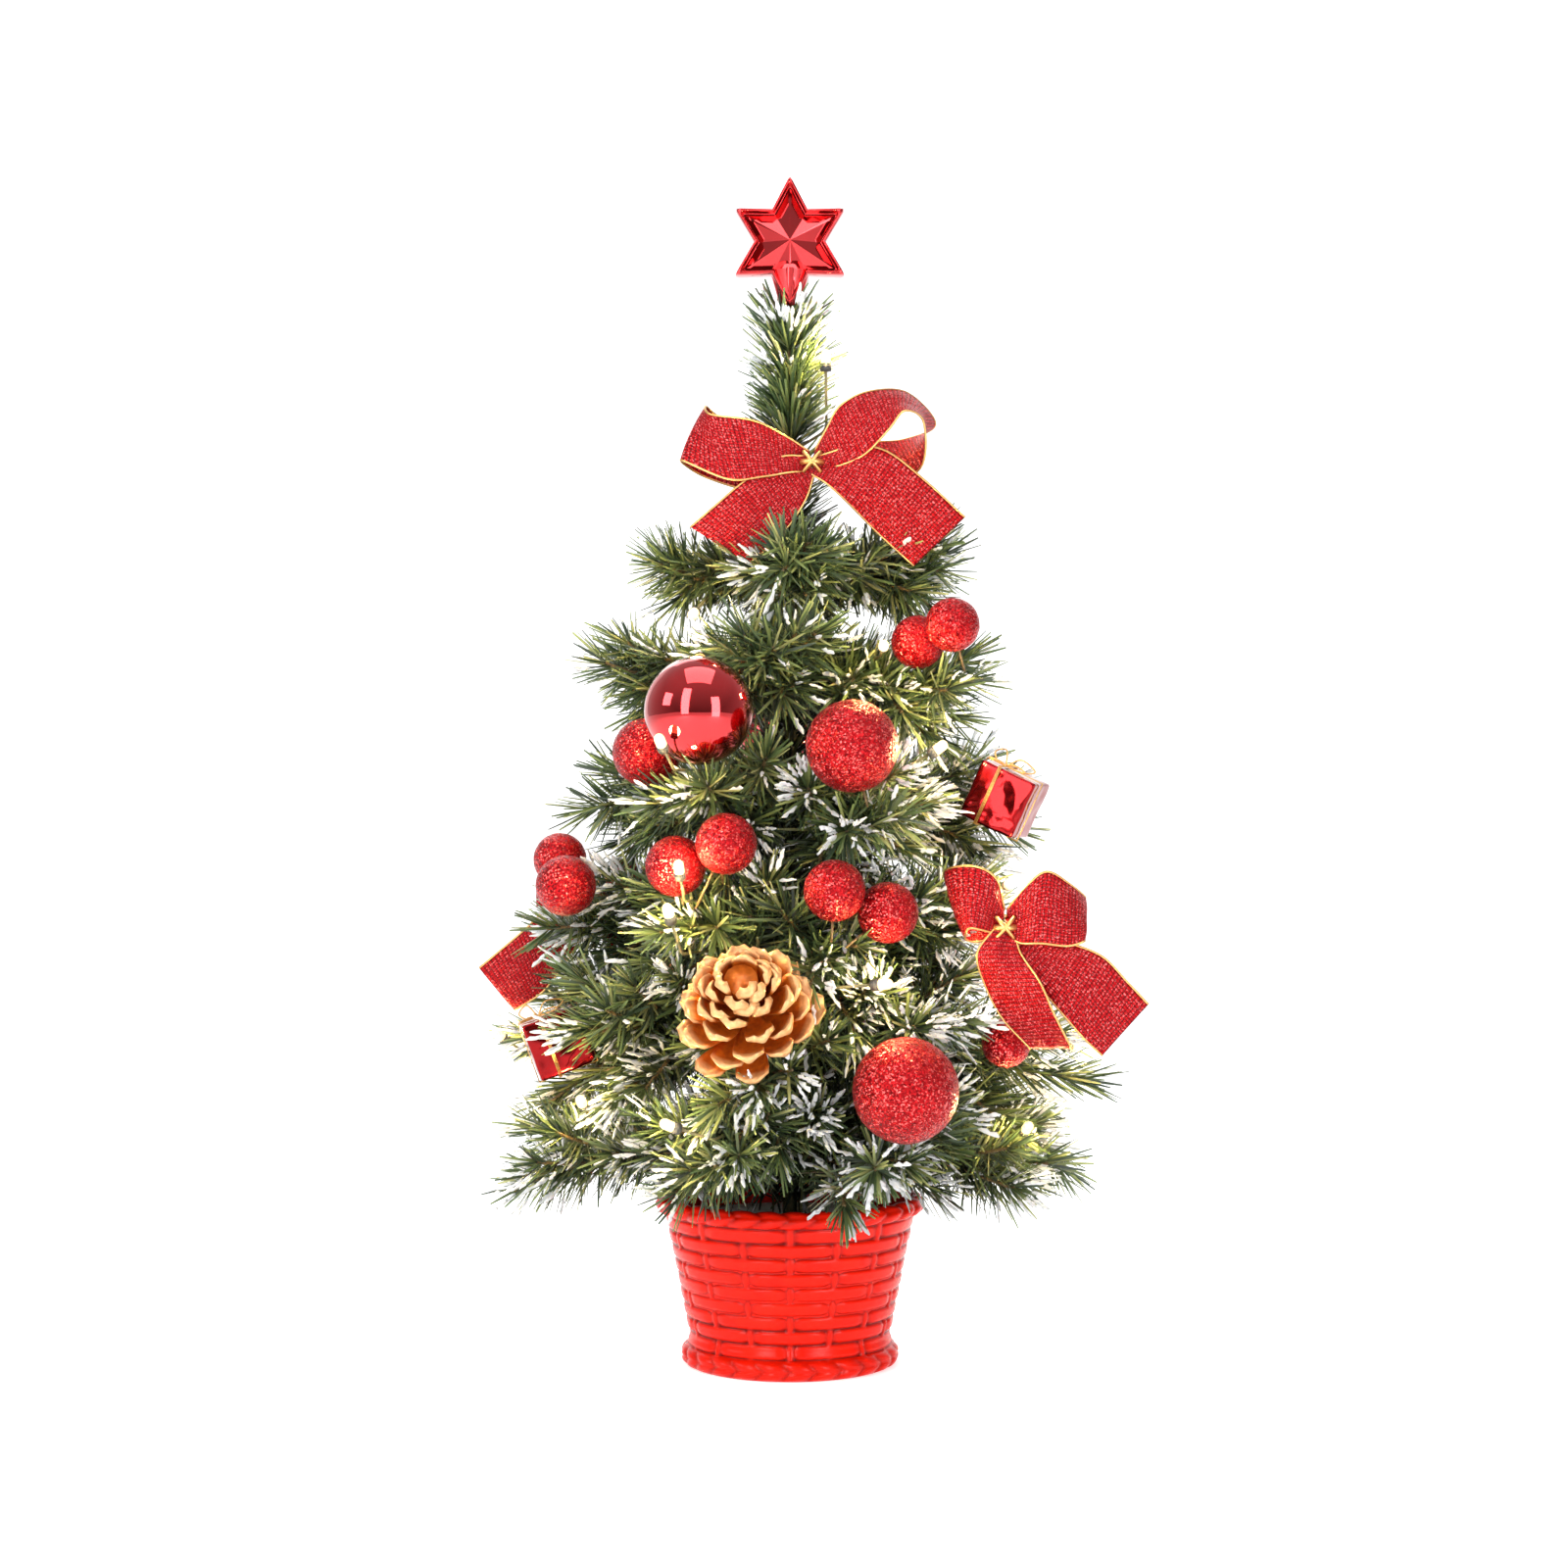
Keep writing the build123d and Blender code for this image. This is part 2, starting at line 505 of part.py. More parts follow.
def stem_point(name, place):
    """The nearest point on a branch's stem, and the core's radius there."""
    _, _, _, reach, core_r, _, _ = BRANCHES[name]
    frame = at_root(name)
    local = (frame.inverse() * Pos(*place)).position
    crest = SLEEVE_START + SLEEVE_FULL * (reach - SLEEVE_START)
    along = min(max(local.X, crest), reach - STEM_SHORT_OF_TIP)
    return (frame * Pos(along, 0, 0)).position, core_r


def pick(name, place, body_r):
    """The wire that ties an ornament to its branch, between the two surfaces."""
    foot, core_r = stem_point(name, place)
    line = Vector(*place) - foot
    unit = line.normalized()
    start = foot + unit * (core_r + PICK_STANDOFF)
    end = Vector(*place) - unit * (body_r + BORE_GAP)
    if (end - start).dot(unit) < PICK_LEAST:
        return []
    return [rod(start, end, PICK_R)]


def balls(name):
    """One or two balls on their wires, hollow where they are mirrored; the shiny one has a cap."""
    solids = []
    for place, r, host in BALLS[name]:
        ball = Sphere(r) - Sphere(r - BALL_WALL) if name in MIRROR_BALLS else Sphere(r)
        solids.append(Pos(*place) * ball)
        if name != "shiny_ball":
            solids += pick(host, place, r)
    if name == "shiny_ball":
        (x, y, z), r, _ = BALLS[name][0]
        lean = Pos(x, y, z) * Rot(CAP_LEAN, 0, 0)
        seat = sqrt(r * r - CAP_R * CAP_R)
        solids.append(lean * disc(r + BORE_GAP, seat + CAP_H, CAP_R))
    return solids


def cone(name):
    """A pine cone's outside, leaning outwards."""
    place, lean, turn, host = CONES[name]
    body = Pos(*place) * Rot(0, 0, turn) * Rot(lean, 0, 0) * turned(CONE_PROFILE)
    return [body, *pick(host, place, CONE_REACH)]


def gift(name):
    """A foil-wrapped box with a thread crossed round it."""
    place, lean, turn, host = GIFTS[name]
    half, out = GIFT_SIZE / 2, GIFT_SIZE / 2 + THREAD_T
    inside = block((-half, -half, -half), (half, half, half))
    hoop_x = block((-THREAD_W / 2, -out, -out), (THREAD_W / 2, out, out)) - inside
    hoop_y = block((-out, -THREAD_W / 2, -out), (out, THREAD_W / 2, out)) - inside
    thread = one(hoop_x + hoop_y)
    frame = Pos(*place) * Rot(0, 0, turn) * Rot(0, lean, 0)
    return [frame * inside, frame * thread]


def ribbon_part(outline, near, depth):
    """A flat piece of the bow: its outline in the front plane, from near to near + depth behind the knot."""
    face = make_face(Polyline(*[(x, near, z) for x, z in outline], close=True))
    return extrude(face, depth, dir=(0, 1, 0))


def bow(name):
    """Two closed loops, two tails in front of them, and the thread that ties the middle."""
    knot, turn, left_loop, right_loop, left_tail, right_tail = BOWS[name]
    half = LOOP_DEPTH / 2
    tail_y = -half - RIBBON_T - BOW_TAIL_SPLIT
    tie_y = tail_y - TIE_R - TIE_GAP
    solids = [
        ribbon_part(left_loop, -half, LOOP_DEPTH),
        ribbon_part(right_loop, -half, LOOP_DEPTH),
        ribbon_part(left_tail, tail_y, RIBBON_T),
        ribbon_part(right_tail, tail_y, RIBBON_T),
        rod((0, tie_y, -TIE_REACH), (0, tie_y, TIE_REACH), TIE_R),
    ]
    frame = Pos(*knot) * Rot(0, 0, turn)
    return [frame * solid for solid in solids]


def main():
    os.makedirs("parts", exist_ok=True)
    save("pot", pot())
    save("pot_filler", pot_filler())
    save("trunk", trunk())
    save("trunk_bindings", *trunk_bindings())
    save("top_sprig", top_sprig())
    save("light_wire", *light_wire())
    save("battery_housing", battery_housing())
    save("battery_cells", *battery_cells())
    save("battery_contacts", *battery_contacts())
    save("battery_door", battery_door())
    save("switch_slider", switch_slider())
    save("star_front_shell", star_shell(-1))
    save("star_back_shell", star_shell(1))
    save("star_socket", star_socket())
    for name in BRANCHES:
        save(f"branch_{name}", *branch(name))
    for name in BALLS:
        save(name, *balls(name))
    for name in CONES:
        save(name, *cone(name))
    for name in GIFTS:
        save(name, *gift(name))
    for name in BOWS:
        save(name, *bow(name))


main()
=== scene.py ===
"""Looks of the artificial tabletop tree: needles, ornaments, ribbon bows, lamps and the woven-look pot."""

import json
import math
import random

import bmesh
import bpy
from mathutils import Matrix, Vector, noise
from mathutils.bvhtree import BVHTree

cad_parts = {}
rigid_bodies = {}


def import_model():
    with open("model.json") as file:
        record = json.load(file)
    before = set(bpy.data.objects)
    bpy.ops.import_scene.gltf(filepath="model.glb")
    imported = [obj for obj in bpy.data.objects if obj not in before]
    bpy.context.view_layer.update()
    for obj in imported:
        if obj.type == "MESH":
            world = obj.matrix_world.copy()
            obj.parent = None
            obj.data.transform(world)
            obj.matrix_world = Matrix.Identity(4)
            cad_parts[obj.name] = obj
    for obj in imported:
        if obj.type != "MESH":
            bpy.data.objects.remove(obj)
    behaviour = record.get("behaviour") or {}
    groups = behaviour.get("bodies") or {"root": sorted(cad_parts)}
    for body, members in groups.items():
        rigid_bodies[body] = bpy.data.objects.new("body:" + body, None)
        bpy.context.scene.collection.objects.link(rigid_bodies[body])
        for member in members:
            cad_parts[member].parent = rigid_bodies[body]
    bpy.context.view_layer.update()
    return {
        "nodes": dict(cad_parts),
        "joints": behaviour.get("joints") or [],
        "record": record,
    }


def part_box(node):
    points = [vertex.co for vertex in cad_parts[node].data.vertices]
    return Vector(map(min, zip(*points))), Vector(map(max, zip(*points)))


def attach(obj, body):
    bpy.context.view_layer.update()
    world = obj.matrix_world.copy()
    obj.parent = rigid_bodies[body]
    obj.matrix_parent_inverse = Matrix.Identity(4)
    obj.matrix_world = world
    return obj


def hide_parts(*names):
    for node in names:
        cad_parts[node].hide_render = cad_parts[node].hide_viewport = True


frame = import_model()
RECORD = frame["record"]
NODE_BODY = {n: b for b, members in RECORD["behaviour"]["bodies"].items() for n in members}
NODE_SLOT = {row["node"]: row["material_slot"] for row in RECORD["subparts"]}
MM = 0.001
UP = Vector((0, 0, 1))

# Camera
EYE = Vector((-0.0025, -1.2, 0.2442))
LENS_MM, SENSOR_MM = 65.1, 36.0
LIGHT_AIM = (0, 0, 0.24)

# Needles
NEEDLE_LENGTH, NEEDLE_WIDTH, NEEDLE_THICK = 19 * MM, 1.15 * MM, 0.4 * MM
NEEDLE_SPACING = 0.37 * MM
WIRE_R = 0.75 * MM
FROSTED_KINDS = 5
TIP_MARGIN = 10 * MM
TWIG_REACH, TWIG_FLOOR = 118 * MM, 76 * MM
CLEAR_STEPS, CLEAR_STEP_MM = 14, 4
NEEDLE_GREENS = [(0.0, (0.02, 0.04, 0.018)), (0.3, (0.055, 0.095, 0.034)), (0.6, (0.13, 0.19, 0.06)),
                 (0.85, (0.27, 0.33, 0.10)), (1.0, (0.45, 0.45, 0.18))]
# Branches whose needles end further back from the CAD tip, in metres
TRIM = {"a_left": 30 * MM, "b_left": 26 * MM, "c_left": 24 * MM, "d_left": 10 * MM, "f_left": 3 * MM,
        "a_right": 12 * MM, "b_right": 15 * MM, "e_left": -3 * MM, "f_right": 5 * MM, "a_front": 8 * MM}
# How much of each branch's needles is frosted, from 0 to 1
FROST = {
    "a_front": 0.55, "a_left": 0.12, "a_right": 0.25, "b_left": 0.1, "b_right": 0.3, "b_front": 0.15,
    "c_left": 0.15, "c_front_left": 0.5, "c_front_right": 0.8, "c_right": 0.6, "d_left": 0.8,
    "d_front_left": 0.35, "d_front": 0.5, "d_right": 0.5, "e_left": 0.85, "e_front": 0.6,
    "e_front_right": 0.65, "e_right": 0.7, "e_far_left": 0.35, "f_left": 0.6, "f_front_left": 0.45,
    "f_front_right": 0.7, "f_right": 0.55,
}
USUAL_FROST = 0.4


# ---------------------------------------------------------------- camera, lights and floor
def link(name, data):
    """A new object in the scene."""
    made = bpy.data.objects.new(name, data)
    bpy.context.collection.objects.link(made)
    return made


def make_camera():
    data = bpy.data.cameras.new("camera")
    data.lens, data.sensor_width, data.clip_start = LENS_MM, SENSOR_MM, 0.05
    camera = link("camera", data)
    camera.location = EYE
    camera.rotation_euler = (math.pi / 2, 0, 0)
    bpy.context.scene.camera = camera


def softbox(name, place, width, height, watts):
    data = bpy.data.lights.new(name, "AREA")
    data.shape, data.size, data.size_y, data.energy = "RECTANGLE", width, height, watts
    lamp = link(name, data)
    lamp.location = place
    lamp.rotation_euler = (Vector(LIGHT_AIM) - Vector(place)).to_track_quat("-Z", "Y").to_euler()


def make_lights():
    softbox("left_window", (-0.57, -1.12, 0.66), 0.36, 1.2, 11)
    softbox("right_window", (0.72, -1.05, 0.42), 0.38, 0.85, 8)
    softbox("left_side", (-1.25, -0.5, 0.72), 0.45, 0.5, 5)
    softbox("top_softbox", (0, -0.25, 1.5), 1.0, 1.0, 11)
    softbox("rear_softbox", (0, 1.1, 1.1), 1.2, 0.8, 5)
    world = bpy.data.worlds.new("studio")
    bpy.context.scene.world = world
    world.use_nodes = True
    tree = world.node_tree
    tree.nodes.clear()
    split = add(tree, "ShaderNodeSeparateXYZ", {"Vector": coords(tree, "Generated")}).outputs
    most = calc(tree, "MAXIMUM", remap(tree, split["Y"], -0.9, 0.5), remap(tree, split["Z"], -0.1, 0.8))
    tone = remap(tree, most, 0.0, 1.0, 0.16, 0.62)
    shade = add(tree, "ShaderNodeBackground", {"Color": tone, "Strength": 1.0})
    add(tree, "ShaderNodeOutputWorld", {"Surface": shade.outputs[0]})


def make_floor():
    """A pale floor that sweeps up behind the object."""
    reach, turn, steps = 3.0, 0.8, 12
    profile = [(-reach, 0.0), (reach - turn, 0.0)]
    profile += [(reach - turn + turn * math.sin(a), turn - turn * math.cos(a))
                for a in (math.pi / 2 * i / steps for i in range(1, steps + 1))]
    profile.append((reach, reach))
    verts = [(x, y, z) for y, z in profile for x in (-reach, reach)]
    faces = [(2 * i, 2 * i + 1, 2 * i + 3, 2 * i + 2) for i in range(len(profile) - 1)]
    mesh = bpy.data.meshes.new("floor")
    mesh.from_pydata(verts, [], faces)
    mesh.shade_smooth()
    floor = link("floor", mesh)
    mesh.materials.append(shader("pale_floor", Base_Color=rgb(0.93, 0.93, 0.93), Roughness=0.7,
                                 Emission_Color=rgb(1, 1, 1), Emission_Strength=0.5)[0])


# ---------------------------------------------------------------- node helpers
def add(tree, kind, feeds=None, **settings):
    """Adds a node. feeds maps an input's name or number to a value or to another node's output."""
    node = tree.nodes.new(kind)
    for key, value in settings.items():
        setattr(node, key, value)
    for key, value in (feeds or {}).items():
        if isinstance(value, bpy.types.NodeSocket):
            tree.links.new(value, node.inputs[key])
        else:
            node.inputs[key].default_value = value
    return node


def new_group(name, kind, takes, gives):
    """A node group with named inputs and outputs, and its input and output nodes."""
    tree = bpy.data.node_groups.new(name, kind)
    for label, socket, value in takes:
        made = tree.interface.new_socket(label, in_out="INPUT", socket_type=socket)
        if value is not None:
            made.default_value = value
    for label, socket in gives:
        tree.interface.new_socket(label, in_out="OUTPUT", socket_type=socket)
    return tree, tree.nodes.new("NodeGroupInput").outputs, tree.nodes.new("NodeGroupOutput").inputs


def rgb(r, g, b):
    return (r, g, b, 1.0)


def coords(tree, kind):
    return add(tree, "ShaderNodeTexCoord").outputs[kind]


def attribute(tree, name):
    return add(tree, "ShaderNodeAttribute", attribute_name=name).outputs["Fac"]


def noise_at(tree, place, scale, detail):
    return add(tree, "ShaderNodeTexNoise", {"Vector": place, "Scale": scale, "Detail": detail}).outputs[0]


def calc(tree, operation, *values):
    return add(tree, "ShaderNodeMath", dict(enumerate(values)), operation=operation).outputs[0]


def remap(tree, value, low, high, to_low=0.0, to_high=1.0):
    """A value carried from one range to another, held at the ends."""
    return add(tree, "ShaderNodeMapRange", {
        "Value": value, "From Min": low, "From Max": high, "To Min": to_low, "To Max": to_high}).outputs[0]


def blend(tree, factor, one, other, kind="MIX"):
    """Two colours mixed by a factor."""
    feeds = {"Factor": factor, 6: one, 7: other}
    return add(tree, "ShaderNodeMix", feeds, data_type="RGBA", blend_type=kind).outputs[2]


def times(tree, colour, share):
    return blend(tree, 1.0, colour, share, "MULTIPLY")


def connect(tree, inputs, **sockets):
    """Feeds sockets to inputs, named with _ for each space."""
    for key, socket in sockets.items():
        tree.links.new(socket, inputs[key.replace("_", " ")])


# ---------------------------------------------------------------- shared material groups
def mottle_group():
    """Two colours mixed by soft noise, and the noise as a height."""
    tree, takes, gives = new_group(
        "mottle", "ShaderNodeTree",
        [("Colour", "NodeSocketColor", rgb(1, 1, 1)), ("Other", "NodeSocketColor", rgb(0, 0, 0)),
         ("Scale", "NodeSocketFloat", 100.0)],
        [("Color", "NodeSocketColor"), ("Height", "NodeSocketFloat")])
    cloud = noise_at(tree, coords(tree, "Object"), takes["Scale"], 5.0)
    mixed = blend(tree, remap(tree, cloud, 0.35, 0.7), takes["Colour"], takes["Other"])
    connect(tree, gives, Color=mixed, Height=cloud)
    return tree


def flake_group():
    """Glitter: small cells, each with its own tone and its own tilt, the brightest painted with a glint colour."""
    tree, takes, gives = new_group(
        "flakes", "ShaderNodeTree",
        [("Vector", "NodeSocketVector", None), ("Scale", "NodeSocketFloat", 1400.0),
         ("Dark", "NodeSocketColor", rgb(0.2, 0, 0)), ("Body", "NodeSocketColor", rgb(0.7, 0.02, 0.02)),
         ("Painted Glint", "NodeSocketColor", rgb(1, 0.5, 0.45)), ("Tilt", "NodeSocketFloat", 0.7)],
        [("Color", "NodeSocketColor"), ("Normal", "NodeSocketVector")])
    cells = add(tree, "ShaderNodeTexVoronoi", {"Vector": takes["Vector"], "Scale": takes["Scale"]})
    shade = add(tree, "ShaderNodeSeparateColor", {"Color": cells.outputs["Color"]}).outputs[0]
    plain = blend(tree, remap(tree, shade, 0.0, 0.55), takes["Dark"], takes["Body"])
    # Painted glint: the brightest cells take a near-white colour that stands in for sparkle.
    colour = blend(tree, remap(tree, shade, 0.8, 0.97), plain, takes["Painted Glint"])

    def vector(operation, *values, **feeds):
        feeds = {**dict(enumerate(values)), **feeds}
        return add(tree, "ShaderNodeVectorMath", feeds, operation=operation).outputs[0]

    tilt = vector("SCALE", vector("SUBTRACT", cells.outputs["Color"], (0.5, 0.5, 0.5)), Scale=takes["Tilt"])
    surface = add(tree, "ShaderNodeNewGeometry").outputs["Normal"]
    connect(tree, gives, Color=colour, Normal=vector("NORMALIZE", vector("ADD", surface, tilt)))
    return tree


def use_group(tree, group, feeds):
    return add(tree, "ShaderNodeGroup", feeds, node_tree=group).outputs


def shader(name, **values):
    """A material, its node tree and its Principled shader with plain values set."""
    material = bpy.data.materials.new(name)
    material.use_nodes = True
    principled = material.node_tree.nodes["Principled BSDF"]
    for key, value in values.items():
        principled.inputs[key.replace("_", " ")].default_value = value
    return material, material.node_tree, principled


def bump(tree, principled, height, strength, distance, **feeds):
    made = add(tree, "ShaderNodeBump", {"Height": height, "Strength": strength, "Distance": distance, **feeds})
    connect(tree, principled.inputs, Normal=made.outputs["Normal"])


def mottled(name, colour, other, scale, strength, depth=0.3 * MM, **values):
    """A material of two mottled colours with a fine raised grain."""
    material, tree, principled = shader(name, **values)
    spots = use_group(tree, MOTTLE, {"Colour": rgb(*colour), "Other": rgb(*other), "Scale": scale})
    connect(tree, principled.inputs, Base_Color=spots["Color"])
    bump(tree, principled, spots["Height"], strength, depth)
    return material


def needle_material():
    """PVC needles: each has its own green, with painted shade at its root and deep in the tree, and frost where the
    coat lies.
    """
    material, tree, principled = shader("needle_pvc", Roughness=0.42)
    frost = attribute(tree, "frost")
    ramp = add(tree, "ShaderNodeValToRGB", {"Fac": attribute(tree, "tone")})
    elements = ramp.color_ramp.elements
    while len(elements) < len(NEEDLE_GREENS):
        elements.new(0.5)
    for element, (place, colour) in zip(elements, NEEDLE_GREENS):
        element.position, element.color = place, rgb(*colour)
    # Painted shade: each needle is darker towards its root and a little brighter at its tip.
    root_shaded = times(tree, ramp.outputs["Color"], remap(tree, attribute(tree, "along_needle"), 0.0, 1.0, 0.45, 1.1))
    coated = blend(tree, frost, root_shaded, rgb(0.88, 0.9, 0.93))
    # The shade deep in the tree, by distance from the axis against the tree's outline at that height
    place = coords(tree, "Object")
    split = add(tree, "ShaderNodeSeparateXYZ", {"Vector": place}).outputs
    flat = add(tree, "ShaderNodeCombineXYZ", {"X": split["X"], "Y": split["Y"]})
    away = add(tree, "ShaderNodeVectorMath", {0: flat.outputs[0]}, operation="LENGTH").outputs["Value"]
    share = calc(tree, "DIVIDE", away, remap(tree, split["Z"], 0.1, 0.35, 0.122, 0.055))
    lit = calc(tree, "MAXIMUM", remap(tree, share, 0.35, 0.95, 0.14, 0.85), remap(tree, split["Z"], 0.345, 0.375))
    connect(tree, principled.inputs, Base_Color=times(tree, coated, lit),
            Roughness=remap(tree, frost, 0.0, 1.0, 0.38, 0.9))
    bump(tree, principled, noise_at(tree, place, 2500.0, 2.0), 0.25, 0.2 * MM)
    return material


def mirror_material(name, colour, rough, coat):
    """Metallised plastic with a faint waviness."""
    return mottled(name, colour, [0.8 * c for c in colour], 60.0, 0.05, 1.0 * MM,
                   Metallic=1.0, Roughness=rough, Coat_Weight=coat, Coat_Roughness=0.04)


def glitter_material():
    material, tree, principled = shader("red_glitter", Metallic=0.7, Roughness=0.32, Specular_IOR_Level=0.25)
    # The brightest flakes get a painted glint colour.
    flakes = use_group(tree, FLAKES, {
        "Vector": coords(tree, "Object"), "Scale": 1900.0, "Dark": rgb(0.12, 0.0, 0.002),
        "Body": rgb(0.38, 0.003, 0.006), "Painted Glint": rgb(0.95, 0.16, 0.15), "Tilt": 1.1})
    connect(tree, principled.inputs, Base_Color=flakes["Color"], Normal=flakes["Normal"])
    return material


def ribbon_material():
    """Open weave with glitter on it: threads both ways in the ribbon's own map, which is in metres, with painted shade
    between the threads.
    """
    material, tree, principled = shader("red_ribbon", Metallic=0.35, Roughness=0.42, Specular_IOR_Level=0.15)
    place = coords(tree, "UV")
    split = add(tree, "ShaderNodeSeparateXYZ", {"Vector": place}).outputs
    waves = [calc(tree, "ABSOLUTE", calc(tree, "SINE", calc(tree, "MULTIPLY", split[axis], math.pi / (pitch * MM))))
             for axis, pitch in (("X", 1.7), ("Y", 1.3))]
    height = calc(tree, "MULTIPLY", *waves)
    # The brightest flakes get a painted glint colour.
    flakes = use_group(tree, FLAKES, {
        "Vector": place, "Scale": 2300.0, "Dark": rgb(0.22, 0.0, 0.004), "Body": rgb(0.46, 0.003, 0.006),
        "Painted Glint": rgb(0.95, 0.2, 0.2), "Tilt": 0.8})
    # Painted shade: the low places between the threads are darkened.
    gap_shade = remap(tree, height, 0.05, 0.45, 0.2, 1.0)
    connect(tree, principled.inputs, Base_Color=times(tree, flakes["Color"], gap_shade))
    bump(tree, principled, height, 0.5, 0.3 * MM, Normal=flakes["Normal"])
    return material


def cone_material():
    """Gold-painted pine scales: bright copper inside, pale gold on the thick tips."""
    material, tree, principled = shader("painted_scales", Metallic=0.35, Roughness=0.36)
    streak = noise_at(tree, coords(tree, "Object"), 450.0, 4.0)
    inside = blend(tree, streak, rgb(0.2, 0.028, 0.003), rgb(0.75, 0.19, 0.014))
    pale = blend(tree, streak, rgb(0.46, 0.18, 0.05), rgb(0.9, 0.54, 0.24))
    edge = remap(tree, attribute(tree, "tip"), 0.55, 1.0)
    connect(tree, principled.inputs, Base_Color=blend(tree, edge, inside, pale))
    bump(tree, principled, streak, 0.35, 0.5 * MM)
    return material


def pot_material():
    """Glossy moulded plastic, with painted shade down in the weave's gaps and the braids' grooves."""
    material, tree, principled = shader("pot_plastic", Roughness=0.24, Specular_IOR_Level=0.14)
    spots = use_group(tree, MOTTLE, {
        "Colour": rgb(0.7, 0.011, 0.002), "Other": rgb(0.62, 0.007, 0.001), "Scale": 90.0})
    # Painted shade: low places of the relief, in the weave's gaps and the braids' grooves, are darkened.
    gap_shade = remap(tree, attribute(tree, "relief"), 0.0, 0.8, 0.2, 1.0)
    connect(tree, principled.inputs, Base_Color=times(tree, spots["Color"], gap_shade))
    bump(tree, principled, spots["Height"], 0.08, 0.4 * MM)
    return material


def lamp_material():
    """Warm light inside a small clear cap, in mottled tones."""
    material, tree, principled = shader("warm_lamp", Roughness=0.3, Emission_Strength=1.35)
    spots = use_group(tree, MOTTLE, {"Colour": rgb(1.0, 0.68, 0.3), "Other": rgb(1.0, 0.84, 0.5), "Scale": 900.0})
    connect(tree, principled.inputs, Base_Color=spots["Color"], Emission_Color=spots["Color"])
    return material


MOTTLE = mottle_group()
FLAKES = flake_group()
MATERIALS = {
    "needles": needle_material(),
    "wire": mottled("twisted_wire", (0.08, 0.05, 0.02), (0.2, 0.13, 0.05), 900.0, 0.4, Roughness=0.55),
    "bark": mottled("bound_trunk", (0.05, 0.055, 0.02), (0.13, 0.10, 0.04), 500.0, 0.6, Roughness=0.7),
    "tape": mottled("green_tape", (0.02, 0.05, 0.02), (0.05, 0.09, 0.03), 400.0, 0.5, Roughness=0.6),
    "lead": mottled("lamp_lead", (0.13, 0.12, 0.05), (0.22, 0.18, 0.08), 700.0, 0.1, Roughness=0.35),
    "mirror": mirror_material("red_mirror", (0.62, 0.016, 0.02), 0.06, 0.8),
    "glitter": glitter_material(),
    "ribbon": ribbon_material(),
    "gold": mottled("gold_thread", (0.6, 0.33, 0.1), (0.8, 0.52, 0.2), 1500.0, 0.3, Metallic=0.9, Roughness=0.32),
    "cone": cone_material(),
    "foil": mirror_material("red_foil", (0.27, 0.004, 0.005), 0.1, 0.2),
    "pot": pot_material(),
    "plaster": mottled("cast_filler", (0.55, 0.53, 0.49), (0.42, 0.40, 0.37), 220.0, 0.7, Roughness=0.9),
    "case": mottled("case_plastic", (0.035, 0.035, 0.035), (0.05, 0.05, 0.05), 1500.0, 0.3, Roughness=0.5),
    "can": mottled("cell_sleeve", (0.45, 0.47, 0.5), (0.3, 0.32, 0.36), 60.0, 0.05, Metallic=0.8, Roughness=0.35),
    "steel": mottled("contact_steel", (0.62, 0.62, 0.63), (0.5, 0.5, 0.52), 300.0, 0.1, Metallic=1.0, Roughness=0.3),
    "lamp": lamp_material(),
}


# ---------------------------------------------------------------- mesh helpers
def new_object(name, verts, faces, materials, smooth=True):
    mesh = bpy.data.meshes.new(name)
    mesh.from_pydata([tuple(v) for v in verts], [], faces)
    mesh.validate()
    if smooth:
        mesh.shade_smooth()
    for key in materials:
        mesh.materials.append(MATERIALS[key])
    return link(name, mesh)


def from_work(name, work, material):
    """A smooth object from a bmesh, which is freed."""
    mesh = bpy.data.meshes.new(name)
    work.to_mesh(mesh)
    work.free()
    mesh.shade_smooth()
    mesh.materials.append(MATERIALS[material])
    return link(name, mesh)


def settle(piece, body, slot, *nodes):
    """Puts a finished piece on its body and hides the nodes that it stands for. The slot argument is not used."""
    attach(piece, body)
    if nodes:
        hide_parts(*nodes)
    return piece


def recalc(piece, merge=True):
    """Turns every face outwards, after merging doubled points."""
    work = bmesh.new()
    work.from_mesh(piece.data)
    if merge:
        bmesh.ops.remove_doubles(work, verts=work.verts, dist=1e-6)
    bmesh.ops.recalc_face_normals(work, faces=work.faces)
    work.to_mesh(piece.data)
    work.free()


def set_attribute(mesh, name, values):
    layer = mesh.attributes.new(name, "FLOAT", "POINT")
    layer.data.foreach_set("value", values)


def tube(line, radius, sides=6):
    """Verts and faces of a closed tube along points."""
    line = [Vector(p) for p in line]
    verts = []
    side = None
    for i, point in enumerate(line):
        ahead = line[min(i + 1, len(line) - 1)] - line[max(i - 1, 0)]
        ahead.normalize()
        if side is None:
            side = ahead.orthogonal().normalized()
        side = (side - ahead * side.dot(ahead)).normalized()
        other = ahead.cross(side)
        verts += [point + (side * math.cos(a) + other * math.sin(a)) * radius for a in around(sides)]
    return verts, ring_faces(len(line), sides)


def around(count, shift=0.0):
    """Angles evenly round a circle."""
    return [2 * math.pi * (k + shift) / count for k in range(count)]


def ring_faces(rings, sides, first=0):
    """Faces between rings of points, and the two end caps."""
    faces = []
    for i in range(rings - 1):
        for k in range(sides):
            a, b = first + i * sides + k, first + i * sides + (k + 1) % sides
            faces.append((a, b, b + sides, a + sides))
    last = first + (rings - 1) * sides
    return faces + [tuple(range(first, first + sides))[::-1], tuple(range(last, last + sides))]


